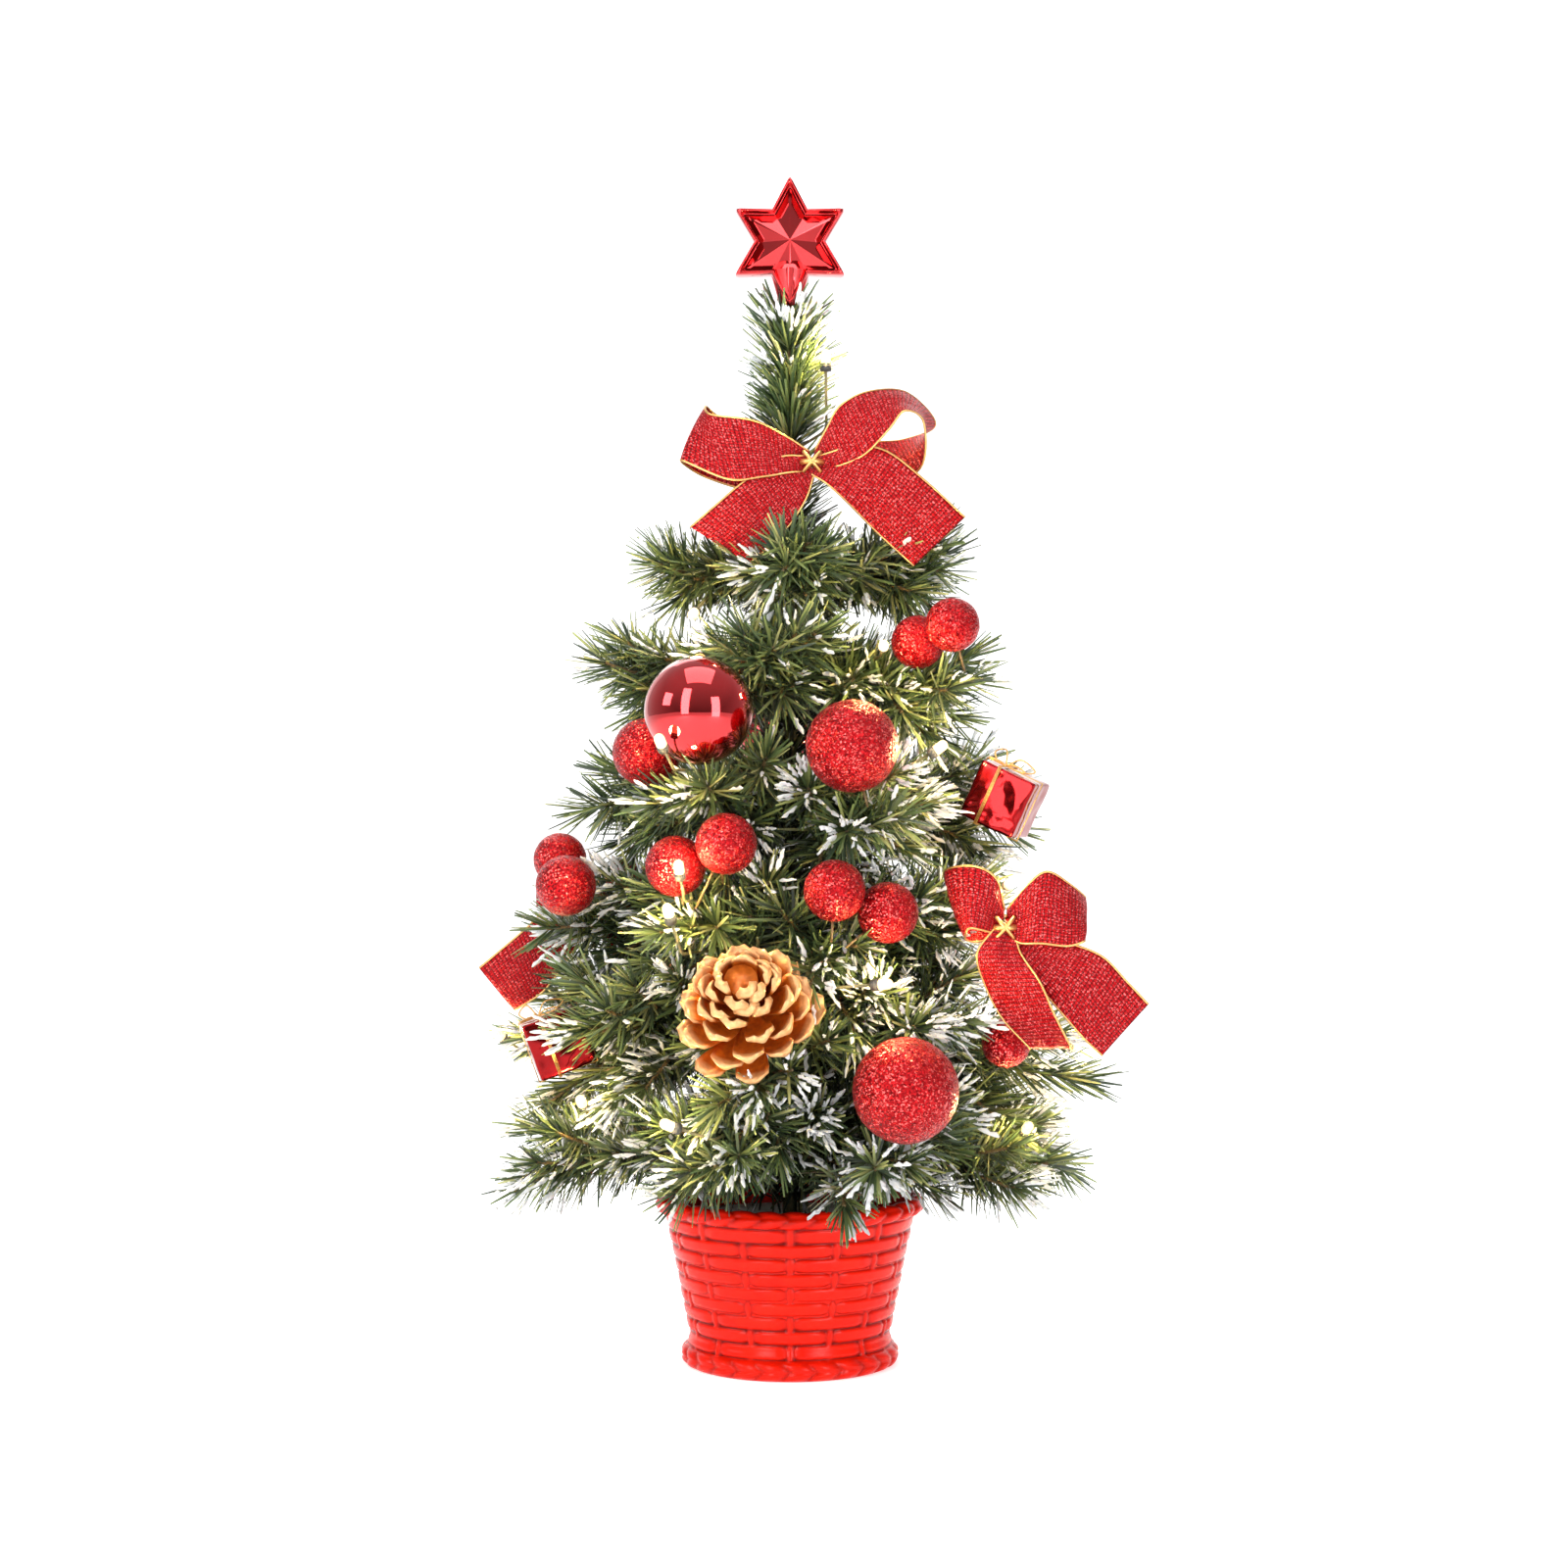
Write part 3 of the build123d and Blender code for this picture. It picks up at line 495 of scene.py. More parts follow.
def sheet_faces(rows, across):
    """Faces of a thick sheet: upper points row by row, then the under points, joined round the rim."""
    wide, half = across + 1, rows * (across + 1)
    faces = []
    for i in range(rows - 1):
        for k in range(across):
            a = i * wide + k
            b = half + a
            faces += [(a, a + 1, a + wide + 1, a + wide), (b, b + wide, b + wide + 1, b + 1)]
    rim = [i * wide for i in range(rows)] + [(rows - 1) * wide + k for k in range(1, wide)]
    rim += [i * wide + across for i in range(rows - 2, -1, -1)] + list(range(across - 1, 0, -1))
    return faces + [(a, b, half + b, half + a) for a, b in zip(rim, rim[1:] + rim[:1])]


def smooth_line(points, steps):
    """A Catmull-Rom line through points."""
    points = [Vector(p) for p in points]
    padded = [2 * points[0] - points[1], *points, 2 * points[-1] - points[-2]]
    line = []
    for a, b, c, d in zip(padded, padded[1:], padded[2:], padded[3:]):
        for i in range(steps):
            t = i / steps
            line.append(0.5 * (2 * b + (c - a) * t + (2 * a - 5 * b + 4 * c - d) * t * t
                               + (3 * b - 3 * c + d - a) * t ** 3))
    line.append(points[-1])
    return line


class Bundle:
    """Collects shapes into one mesh."""

    def __init__(self):
        self.verts, self.faces, self.slots, self.values = [], [], [], []

    def add(self, verts, faces, slot=0, value=0.0):
        start = len(self.verts)
        self.verts += [Vector(v) for v in verts]
        self.faces += [tuple(start + i for i in face) for face in faces]
        self.slots += [slot] * len(faces)
        self.values += value if isinstance(value, list) else [value] * len(verts)

    def build(self, name, materials, attribute=None, smooth=True):
        made = new_object(name, self.verts, self.faces, materials, smooth)
        made.data.polygons.foreach_set("material_index", self.slots)
        if attribute:
            set_attribute(made.data, attribute, self.values)
        return made


# ---------------------------------------------------------------- reading the frame
class Lump:
    """One closed solid of a CAD node: its verts and faces, its middle, and its long axis."""

    def __init__(self, verts, faces):
        self.verts, self.faces = verts, faces
        self.middle = sum(verts, Vector()) / len(verts)
        low = Vector([min(v[i] for v in verts) for i in range(3)])
        high = Vector([max(v[i] for v in verts) for i in range(3)])
        self.size = high - low
        self.centre = (high + low) / 2
        axis = self.size.copy()
        for _ in range(30):
            axis = sum(((v - self.middle) * (v - self.middle).dot(axis) for v in verts), Vector())
            axis.normalize()
        self.axis = axis
        spots = [(v - self.middle).dot(axis) for v in verts]
        self.low_end = self.middle + axis * min(spots)
        self.high_end = self.middle + axis * max(spots)
        self.radius = max((v - self.middle - axis * (v - self.middle).dot(axis)).length for v in verts)
        fans = ((verts[f[0]], verts[b], verts[c]) for f in faces for b, c in zip(f[1:], f[2:]))
        self.volume = abs(sum(a.dot(b.cross(c)) for a, b, c in fans)) / 6


def lumps(node):
    """The separate closed solids of a CAD node, from its own mesh."""
    work = bmesh.new()
    work.from_mesh(frame["nodes"][node].data)
    bmesh.ops.remove_doubles(work, verts=work.verts, dist=2e-6)
    work.verts.ensure_lookup_table()
    seen, found = set(), []
    for start in work.verts:
        if start.index in seen or not start.link_faces:
            continue
        seen.add(start.index)
        queue, members = [start], []
        while queue:
            vert = queue.pop()
            members.append(vert)
            for edge in vert.link_edges:
                other = edge.other_vert(vert)
                if other.index not in seen:
                    seen.add(other.index)
                    queue.append(other)
        number = {v.index: i for i, v in enumerate(members)}
        faces = {f for v in members for f in v.link_faces}
        faces = [tuple(number[v.index] for v in f.verts) for f in sorted(faces, key=lambda f: f.index)]
        found.append(Lump([v.co.copy() for v in members], faces))
    work.free()
    return found


def is_lamp(lump):
    return max(lump.size) < 13 * MM and lump.radius < 3 * MM


def is_brush(lump):
    return lump.volume > 1000 * MM ** 3


# ---------------------------------------------------------------- needles
def needle_shape(name, frosted, seed):
    """One flat needle along +Z, with a lumpy coat on its outer half where it is frosted."""
    draw = random.Random(seed)
    rings = [(0.0, 0.45), (0.22, 1.0), (0.62, 1.0), (1.0, 0.55)]
    verts, frost, along = [], [], []
    bend = draw.uniform(0.03, 0.09) * NEEDLE_LENGTH
    for t, wide in rings:
        half, z = NEEDLE_WIDTH * wide / 2, t * NEEDLE_LENGTH
        shift = bend * t * t
        verts += [(-half, shift, z), (half, shift, z), (0, shift - NEEDLE_THICK * wide, z)]
        frost += [0.0] * 3
        along += [t] * 3
    faces = ring_faces(len(rings), 3)
    if frosted:
        start, first, rows, sides = draw.uniform(0.4, 0.6), len(verts), 6, 4
        for i in range(rows):
            t = start + (1.04 - start) * i / (rows - 1)
            fat = (0.35 if i in (0, rows - 1) else draw.uniform(0.6, 1.1)) * MM
            centre = Vector((draw.uniform(-0.2, 0.2) * MM, bend * t * t, t * NEEDLE_LENGTH))
            for a in around(sides, 0.5 * (i % 2)):
                swell = fat * draw.uniform(0.75, 1.3)
                lump = (swell * math.cos(a), 0.6 * swell * math.sin(a), draw.uniform(-0.4, 0.4) * MM)
                verts.append(centre + Vector(lump))
                frost.append(draw.uniform(0.75, 1.0))
                along.append(1.0)
        faces += ring_faces(rows, sides, first)
    made = new_object(name, verts, faces, ["needles"], smooth=False)
    set_attribute(made.data, "frost", frost)
    set_attribute(made.data, "along_needle", along)
    return made


def brush_tree():
    """Geometry nodes: needles set round every curve, and the wire inside them."""
    floats = {"Spacing": NEEDLE_SPACING, "Root Lean": 1.1, "Tip Lean": 0.45, "Length": 1.0, "Frost": 0.3,
              "Frost Start": 0.35, "Wire Radius": WIRE_R}
    kinds = {"Plain Needle": "Object", "Frosted Needles": "Collection", "Keep Clear": "Object",
             "Needle Material": "Material", "Wire Material": "Material"}
    tree, takes, gives = new_group(
        "needle_brush", "GeometryNodeTree",
        [("Geometry", "NodeSocketGeometry", None), ("Seed", "NodeSocketInt", 0),
         *((name, "NodeSocketFloat", value) for name, value in floats.items()),
         *((name, "NodeSocket" + kind, None) for name, kind in kinds.items())],
        [("Geometry", "NodeSocketGeometry")])

    def node(kind, feeds=None, output=0, **settings):
        return add(tree, kind, feeds, **settings).outputs[output]

    def draw(low, high, step):
        seed = calc(tree, "ADD", takes["Seed"], float(step))
        return node("FunctionNodeRandomValue", {"Seed": seed, 2: low, 3: high}, 1, data_type="FLOAT")

    def store(geometry, name, value, domain):
        return node("GeometryNodeStoreNamedAttribute", {"Geometry": geometry, "Name": name, "Value": value},
                    data_type="FLOAT", domain=domain)

    def rotate(rotation, **angle):
        way = node("ShaderNodeCombineXYZ", angle)
        return node("FunctionNodeRotateRotation", {"Rotation": rotation, "Rotate By": way}, rotation_space="LOCAL")

    def paint(geometry, material):
        return node("GeometryNodeSetMaterial", {"Geometry": geometry, "Material": takes[material]})

    def join(parts):
        joined = add(tree, "GeometryNodeJoinGeometry")
        for part in parts:
            tree.links.new(part, joined.inputs[0])
        return joined.outputs[0]

    # Where each needle stands, and how it leans
    marked = store(takes["Geometry"], "along", node("GeometryNodeSplineParameter", output="Factor"), "POINT")
    points = add(tree, "GeometryNodeCurveToPoints", {"Curve": marked, "Length": takes["Spacing"]}, mode="LENGTH")
    along = node("GeometryNodeInputNamedAttribute", {"Name": "along"}, data_type="FLOAT")
    lean = node("ShaderNodeMapRange", {"Value": along, "From Min": 0.55, "From Max": 1.0, "To Min": takes["Root Lean"],
                                       "To Max": takes["Tip Lean"]}, interpolation_type="SMOOTHSTEP")
    turned = rotate(points.outputs["Rotation"], Z=draw(0.0, 2 * math.pi, 1))
    turned = rotate(turned, X=calc(tree, "ADD", lean, draw(-0.22, 0.22, 2)))
    turned = rotate(turned, Z=draw(-0.8, 0.8, 3))
    grown = calc(tree, "MULTIPLY", takes["Length"], draw(0.78, 1.08, 4))
    # Needles that would run into an ornament are left out
    hit = node("GeometryNodeRaycast", {
        "Target Geometry": node("GeometryNodeObjectInfo", {"Object": takes["Keep Clear"]}, "Geometry"),
        "Ray Direction": node("FunctionNodeRotateVector", {"Vector": (0.0, 0.0, 1.0), "Rotation": turned}),
        "Ray Length": calc(tree, "MULTIPLY", grown, NEEDLE_LENGTH)}, "Is Hit")
    kept = node("GeometryNodeDeleteGeometry", {"Geometry": points.outputs["Points"], "Selection": hit}, domain="POINT")
    # Frost comes in patches, and more of it towards the tip of a branch
    clouds = noise_at(tree, node("GeometryNodeInputPosition"), 55.0, 1.0)
    settled = calc(tree, "MULTIPLY", remap(tree, along, takes["Frost Start"], 0.9), remap(tree, clouds, 0.46, 0.54))
    frosted = node("FunctionNodeCompare", {0: draw(0.0, 1.0, 5), 1: calc(tree, "MULTIPLY", settled, takes["Frost"])},
                   data_type="FLOAT", operation="LESS_THAN")
    placed = {"Points": kept, "Rotation": turned, "Scale": grown}
    bare = node("GeometryNodeInstanceOnPoints", {
        **placed, "Selection": node("FunctionNodeBooleanMath", {0: frosted}, operation="NOT"),
        "Instance": node("GeometryNodeObjectInfo", {"Object": takes["Plain Needle"]}, "Geometry")})
    shapes = {"Collection": takes["Frosted Needles"], "Separate Children": True}
    coated = node("GeometryNodeInstanceOnPoints", {
        **placed, "Selection": frosted, "Pick Instance": True,
        "Instance": node("GeometryNodeCollectionInfo", shapes),
        "Instance Index": calc(tree, "FLOOR", draw(0.0, FROSTED_KINDS - 0.01, 7))})
    toned = store(join([bare, coated]), "tone", draw(0.0, 1.0, 6), "INSTANCE")
    ring = node("GeometryNodeCurvePrimitiveCircle", {"Radius": takes["Wire Radius"], "Resolution": 6}, mode="RADIUS")
    wire = node("GeometryNodeCurveToMesh", {"Curve": takes["Geometry"], "Profile Curve": ring, "Fill Caps": True})
    whole = join([paint(node("GeometryNodeRealizeInstances", {"Geometry": toned}), "Needle Material"),
                  paint(wire, "Wire Material")])
    tree.links.new(whole, gives["Geometry"])
    return tree


def grow_brushes(name, lines, **inputs):
    """Runs the needle tree on some centre lines and returns one plain mesh object."""
    curve = bpy.data.curves.new(name + "_lines", "CURVE")
    curve.dimensions = "3D"
    for line in lines:
        spline = curve.splines.new("POLY")
        spline.points.add(len(line) - 1)
        for point, place in zip(spline.points, line):
            point.co = (*place, 1)
    holder = link(name + "_lines", curve)
    modifier = holder.modifiers.new("needles", "NODES")
    modifier.node_group = BRUSH
    inputs = {"Plain Needle": PLAIN_NEEDLE, "Frosted Needles": FROSTED_NEEDLES, "Keep Clear": KEEP_CLEAR,
              "Needle Material": MATERIALS["needles"], "Wire Material": MATERIALS["wire"], **inputs}
    for item in BRUSH.interface.items_tree:
        if item.in_out == "INPUT" and item.name in inputs:
            modifier[item.identifier] = inputs[item.name]
    holder.update_tag()
    bpy.context.view_layer.update()
    ready = holder.evaluated_get(bpy.context.evaluated_depsgraph_get())
    mesh = bpy.data.meshes.new_from_object(ready)
    mesh.name = name
    bpy.data.objects.remove(holder)
    return link(name, mesh)


FRONT_BOWS = ("top_bow", "right_bow")


def in_front(place):
    """Whether a place hides one of the front bows from the viewer."""
    return any(BOW_TREES[node].ray_cast(place, (place - EYE).normalized(), 65 * MM)[0] for node in FRONT_BOWS)


def keep_clear_mesh():
    """The ornaments, star and bows, where needles stop. The front bows also keep the way to the viewer clear."""
    work = bmesh.new()
    for node in frame["nodes"]:
        if not node.startswith("branch_") and node not in INSIDE_NEEDLES:
            work.from_mesh(frame["nodes"][node].data)
    for node in FRONT_BOWS:
        low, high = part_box(node)
        to_eye = (EYE - (low + high) / 2).normalized()
        for step in range(1, CLEAR_STEPS + 1):
            before = len(work.verts)
            work.from_mesh(frame["nodes"][node].data)
            work.verts.ensure_lookup_table()
            for vert in work.verts[before:]:
                vert.co += to_eye * CLEAR_STEP_MM * MM * step
    mesh = bpy.data.meshes.new("keep_clear")
    work.to_mesh(mesh)
    work.free()
    return link("keep_clear", mesh)


def curved(start, end, sag, steps=7):
    """A line that leaves start straight and bends by sag towards its end."""
    return [start.lerp(end, i / (steps - 1)) + sag * (i / (steps - 1)) ** 2 for i in range(steps)]


def branch_foliage(node, hinge):
    """All the needle brushes, lamps and leads of one branch."""
    name = node.removeprefix("branch_")
    draw = random.Random(name)
    parts = lumps(node)
    brushes = sorted((p for p in parts if is_brush(p)), key=lambda p: -max(p.size))
    root = Vector(hinge)
    far = max((brushes[0].low_end, brushes[0].high_end), key=lambda p: (p - root).length)
    out, reach = (far - root).normalized(), (far - root).length
    side_way = UP.cross(out).normalized()
    trim = TRIM.get(name, 0.0)
    lines = [curved(root + out * 3 * MM, far - out * (TIP_MARGIN + trim), Vector())]
    for brush in brushes[1:]:
        ends = sorted((brush.low_end, brush.high_end), key=lambda p: (p - root).length)
        way = (ends[1] - ends[0]).normalized()
        fork = root + out * (0.28 * reach + 2 * MM)
        lines.append(curved(fork, ends[1] - way * (TIP_MARGIN + trim), UP * draw.uniform(-3, 5) * MM))
    for share, turn, rise, size in TWIGS:
        spot = root + out * reach * (share + draw.uniform(-0.04, 0.04))
        turn = math.radians(turn + draw.uniform(-8, 8))
        rise = math.radians(rise + draw.uniform(-6, 6))
        way = (out * math.cos(turn) + side_way * math.sin(turn)) * math.cos(rise) + UP * math.sin(rise)
        tip = spot + way * ((reach - trim) * size * draw.uniform(0.9, 1.1))
        if has_room(spot, tip):
            lines.append(curved(spot, tip, UP * draw.uniform(-2, 4) * MM))
    foliage = grow_brushes(node + "_needles", lines, **{
        "Frost": FROST.get(name, USUAL_FROST), "Seed": draw.randrange(10000)})
    settle(foliage, NODE_BODY[node], "needles", node)
    lamps_and_leads(node, parts, NODE_BODY[node])


def has_room(spot, tip):
    """Whether a twig stays inside the tree's outline and clear of the bows and ornaments."""
    return (not in_front(spot.lerp(tip, 0.4)) and not in_front(tip)
            and tip.xy.length < TWIG_REACH and tip.z > TWIG_FLOOR
            and all((tip - c).length > r + 4 * MM and (tip.lerp(spot, 0.4) - c).length > r + 2 * MM
                    for c, r in ORNAMENTS))


def lamps_and_leads(node, parts, body):
    """The lamps with their sockets, and the leads that run to them."""
    glow, leads = Bundle(), Bundle()
    spots = []
    for part in parts:
        if is_lamp(part):
            verts, faces = lamp_shape(part)
            glow.add(verts, faces)
            spots.append(part.centre)
            base = min((part.low_end, part.high_end), key=lambda p: p.xy.length)
            away = (part.centre - base).normalized()
            leads.add(*tube([base - away * 1.0 * MM, base + away * 2.2 * MM], 2.35 * MM, 10), slot=1)
        elif node == "light_wire" or not is_brush(part) and part is not stem_of(parts):
            leads.add(part.verts, part.faces)
    if glow.verts:
        lamps = glow.build(node + "_lamps", ["lamp"])
        recalc(lamps)
        settle(lamps, body, "light_lead", *([node] if node == "light_wire" else []))
        for i, spot in enumerate(spots):
            shine(f"{node}_shine_{i}", spot, lamps)
    if leads.verts:
        wires = leads.build(node + "_leads", ["lead", "case"])
        recalc(wires)
        settle(wires, body, "light_lead")


def stem_of(parts):
    """A branch's own wire: the one that starts nearest to the trunk."""
    wires = [p for p in parts if not is_brush(p) and not is_lamp(p)]
    return min(wires, key=lambda p: min(v.xy.length for v in p.verts)) if wires else None


def lamp_shape(part, rings=8, sides=12):
    """A round-nosed clear cap along a lamp's axis."""
    axis = part.axis if (part.high_end - part.low_end).dot(part.centre) > 0 else -part.axis
    half, r = (part.high_end - part.low_end).length / 2, LAMP_R
    turn = axis.to_track_quat("Z", "Y").to_matrix()
    profile = [(r * 0.8, -half), (r, -half + 1.2 * MM)]
    profile += [(r * math.cos(a), half - r + r * math.sin(a)) for a in (math.pi / 2 * i / rings for i in range(rings))]
    verts = [part.centre + turn @ Vector((radius * math.cos(a), radius * math.sin(a), z))
             for radius, z in profile for a in around(sides)]
    return verts, ring_faces(len(profile), sides)


def shine(name, place, parent):
    """The light that a lamp throws on the needles round it."""
    data = bpy.data.lights.new(name, "POINT")
    data.energy, data.color, data.shadow_soft_size = 0.3, (1.0, 0.72, 0.3), 4 * MM
    made = link(name, data)
    made.location = place
    made.parent = parent


# Extra twigs on each branch: place along it, turn, rise, and length as shares of its reach
TWIGS = [(0.30, 34, 14, 0.52), (0.30, -34, 14, 0.52), (0.36, 30, -22, 0.46), (0.36, -30, -22, 0.46),
         (0.5, 24, 24, 0.42), (0.52, -24, 22, 0.42), (0.2, 55, 6, 0.42), (0.2, -55, 6, 0.42),
         (0.45, 16, -40, 0.44), (0.45, -16, -40, 0.44), (0.24, 62, -8, 0.42), (0.24, -62, -8, 0.42),
         (0.62, 22, 8, 0.32), (0.62, -22, -6, 0.32)]
LAMP_R = 2.1 * MM
INSIDE_NEEDLES = ("trunk", "trunk_bindings", "top_sprig", "light_wire", "pot_filler", "battery_housing",
                  "battery_cells", "battery_contacts", "battery_door", "switch_slider")


# ---------------------------------------------------------------- ornaments
BALL_NODES = [n for n in frame["nodes"] if NODE_SLOT[n] in ("red_glitter", "red_mirror") and "star" not in n]
GLITTER_ROUGH = 0.22 * MM
PICK_R = 1.2 * MM


def ball_places(node):
    """Each ball's centre and radius: hollow balls give two surfaces with one centre."""
    found = []
    for part in lumps(node):
        if max(part.size) - min(part.size) < 0.5 * MM and max(part.size) > 15 * MM:
            near = [f for f in found if (f[0] - part.centre).length < 1 * MM]
            if near:
                near[0][1] = max(near[0][1], max(part.size) / 2)
            else:
                found.append([part.centre, max(part.size) / 2])
    return found


def sphere(name, centre, radius, level, material, rough):
    """An even ball, with its surface roughened by rough."""
    work = bmesh.new()
    bmesh.ops.create_icosphere(work, subdivisions=level, radius=1.0)
    for vert in work.verts:
        way = vert.co.normalized()
        push = noise.noise(way * 38) + 0.6 * noise.noise(way * 75 + Vector((9, 2, 5)))
        vert.co = centre + way * (radius - rough + rough * push)
    return from_work(name, work, material)


def make_balls():
    for node in BALL_NODES:
        shiny = NODE_SLOT[node] == "red_mirror"
        for i, (centre, radius) in enumerate(ball_places(node)):
            level = 5 if shiny or radius > 15 * MM else 4
            piece = sphere(f"{node}_{i}", centre, radius, level, "mirror" if shiny else "glitter",
                           0.0 if shiny else GLITTER_ROUGH)
            settle(piece, NODE_BODY[node], NODE_SLOT[node], node)
            if shiny:
                ball_cap(f"{node}_cap", node, centre, radius)
        wires = Bundle()
        for part in lumps(node):
            if part.radius < PICK_R:
                wires.add(part.verts, part.faces)
        if wires.verts:
            settle(wires.build(node + "_picks", ["wire"]), NODE_BODY[node], NODE_SLOT[node])


def ball_cap(name, node, centre, radius):
    """The fluted gold cap of a mirror ball and its ring."""
    caps = [p for p in lumps(node) if 6 * MM < max(p.size) < 12 * MM]
    way = (caps[0].centre - centre).normalized() if caps else Vector((0, 0.57, 0.82))
    turn = way.to_track_quat("Z", "Y").to_matrix()
    sides, flutes = 48, 12
    low, high = math.sqrt(radius ** 2 - (4 * MM) ** 2) - 0.2 * MM, radius + 2.2 * MM
    rings = [(4.2, low), (4.3, low + 0.8 * MM), (3.9, high - 0.9 * MM), (3.2, high - 0.1 * MM), (1.0, high)]
    verts = []
    for r, z in rings:
        for a in around(sides):
            out = r * MM * (1 + 0.035 * math.cos(flutes * a))
            verts.append(centre + turn @ Vector((out * math.cos(a), out * math.sin(a), z)))
    bundle = Bundle()
    bundle.add(verts, ring_faces(len(rings), sides))
    loop = [centre + turn @ Vector((2.2 * MM * math.sin(a), 0, high + 2.0 * MM - 2.2 * MM * math.cos(a)))
            for a in (2 * math.pi * i / 20 for i in range(21))]
    bundle.add(*tube(loop, 0.35 * MM))
    cap = bundle.build(name, ["gold"])
    recalc(cap)
    settle(cap, NODE_BODY[node], NODE_SLOT[node])


ORNAMENTS = [(c, r) for n in BALL_NODES for c, r in ball_places(n)]
ORNAMENTS += [(sum(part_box(n), Vector()) / 2, size * MM) for kind, size in (("pine_cone", 25), ("gift_box", 18))
              for n in frame["nodes"] if kind in n]


# ---------------------------------------------------------------- pot
WEAVE_ROWS, UPRIGHTS, COLUMNS = 9, 16, 384
WEAVE_LOW, WEAVE_HIGH = 8.5 * MM, 63.5 * MM
RIM_LINKS, FOOT_LINKS = 31, 25
# The unseen inside of the wall, from the rim down, as (radius, height) in millimetres
POT_INSIDE = [(50.6, 61), (45, 30), (40.0, 12.5), (39.9, 6.1), (38.2, 6.0), (38.0, 0.3)]


def profile_radius(z, points):
    """The radius at a height, from (height, radius) points."""
    for (z0, r0), (z1, r1) in zip(points, points[1:]):
        if z <= z1:
            return r0 + (r1 - r0) * max(z - z0, 0) / (z1 - z0)
    return points[-1][1]


def weave(z, share):
    """How far a flat strip stands out at a height and a share of the way round."""
    place = (z - WEAVE_LOW) / (WEAVE_HIGH - WEAVE_LOW) * WEAVE_ROWS
    row = min(int(place), WEAVE_ROWS - 1)
    up = 2 * (place - row) - 1
    along = (share * UPRIGHTS / 2 + 0.5 * (row % 2)) % 1.0
    end = min(along, 1 - along)
    near_end = max(0.0, 1 - end / 0.16)
    half = 0.97 - 0.38 * near_end ** 1.5
    body = max(0.0, 1 - abs(up / half) ** 5)
    uneven = 0.93 + 0.07 * math.sin(5.3 * row + 11 * int(share * 8 + row % 2 / 2))
    strip = body * (1.7 - 1.15 * near_end ** 1.3) * uneven
    upright = 1.35 * max(0.0, 1 - (end / 0.045) ** 4) * (1 - 0.25 * up * up)
    behind = 0.55 * max(0.0, 1 - ((0.5 - end) / 0.045) ** 4)
    return max(strip, upright, behind) * MM


def braid(share, links, across):
    """How far a plaited edge stands out, at a place across it from -1 to 1."""
    turn = abs(math.sin(math.pi * (links * share + 0.42 * abs(across))))
    groove = 1 - 0.35 * math.exp(-(across / 0.12) ** 2)
    return (1.6 * turn ** 0.55 * groove - 0.5) * MM


def make_pot():
    _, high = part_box("pot")
    foot_r, rim_r, top = 44 * MM, high.x, high.z
    wall = [(0, foot_r), (5 * MM, 44.4 * MM), (12.5 * MM, 41.9 * MM), (62 * MM, 52 * MM), (68 * MM, rim_r)]
    foot_steps, rim_steps, wall_steps = 12, 20, WEAVE_ROWS * 9
    foot_mid, middle, roll = 4.2 * MM, Vector((rim_r - 2.4 * MM, 67.2 * MM)), 3.1 * MM
    lean, spread = math.radians(25), math.radians(80)

    def foot(s, v):
        out = profile_radius(foot_mid, wall) - 1.6 * MM + 2.2 * MM * math.sqrt(max(0, 1 - v * v))
        return out + braid(s, FOOT_LINKS, v) * (1 - v ** 4), foot_mid * (1 + v)

    def side(s, z):
        return profile_radius(z, wall) - 1.1 * MM + weave(min(z, WEAVE_HIGH - 1e-7), s), z

    def rim(s, a):
        v = (a - lean) / spread
        out = roll + braid(s, RIM_LINKS, v) * max(0, 1 - (v / 1.4) ** 4)
        return middle.x + out * math.cos(a), middle.y + out * math.sin(a) * 0.95

    def inside(s, place):
        return place[0] * MM, place[1] * MM

    rings = [(inside, (40.5, 0.0))]
    rings += [(foot, 2 * i / foot_steps - 1) for i in range(foot_steps + 1)]
    rings += [(side, WEAVE_LOW + (WEAVE_HIGH - WEAVE_LOW) * i / wall_steps) for i in range(wall_steps + 1)]
    rings += [(rim, math.radians(-75 + 230 * i / rim_steps)) for i in range(rim_steps + 1)]
    rings += [(inside, place) for place in POT_INSIDE]
    verts, faces, relief = [], [], []
    for ring, value in rings:
        usual = sum(ring(k / 96, value)[0] for k in range(96)) / 96
        for k in range(COLUMNS):
            s = k / COLUMNS
            r, z = ring(s, value)
            a = 2 * math.pi * s - math.pi / 2
            verts.append((r * math.cos(a), r * math.sin(a), min(z, top + 0.6 * MM)))
            # The relief is stored for the pot material, which paints shade into the low places with it.
            relief.append(weave(min(z, WEAVE_HIGH - 1e-7), s) / (1.7 * MM) if ring is side
                          else 0.66 + (r - usual) / (3.2 * MM))
    count = len(rings)
    for i in range(count):
        for k in range(COLUMNS):
            here, above, n = i * COLUMNS, (i + 1) % count * COLUMNS, (k + 1) % COLUMNS
            faces.append((here + k, here + n, above + n, above + k))
    piece = new_object("woven_pot", verts, faces, ["pot"])
    set_attribute(piece.data, "relief", relief)
    recalc(piece)
    settle(piece, NODE_BODY["pot"], NODE_SLOT["pot"], "pot")
    make_pot_floor()


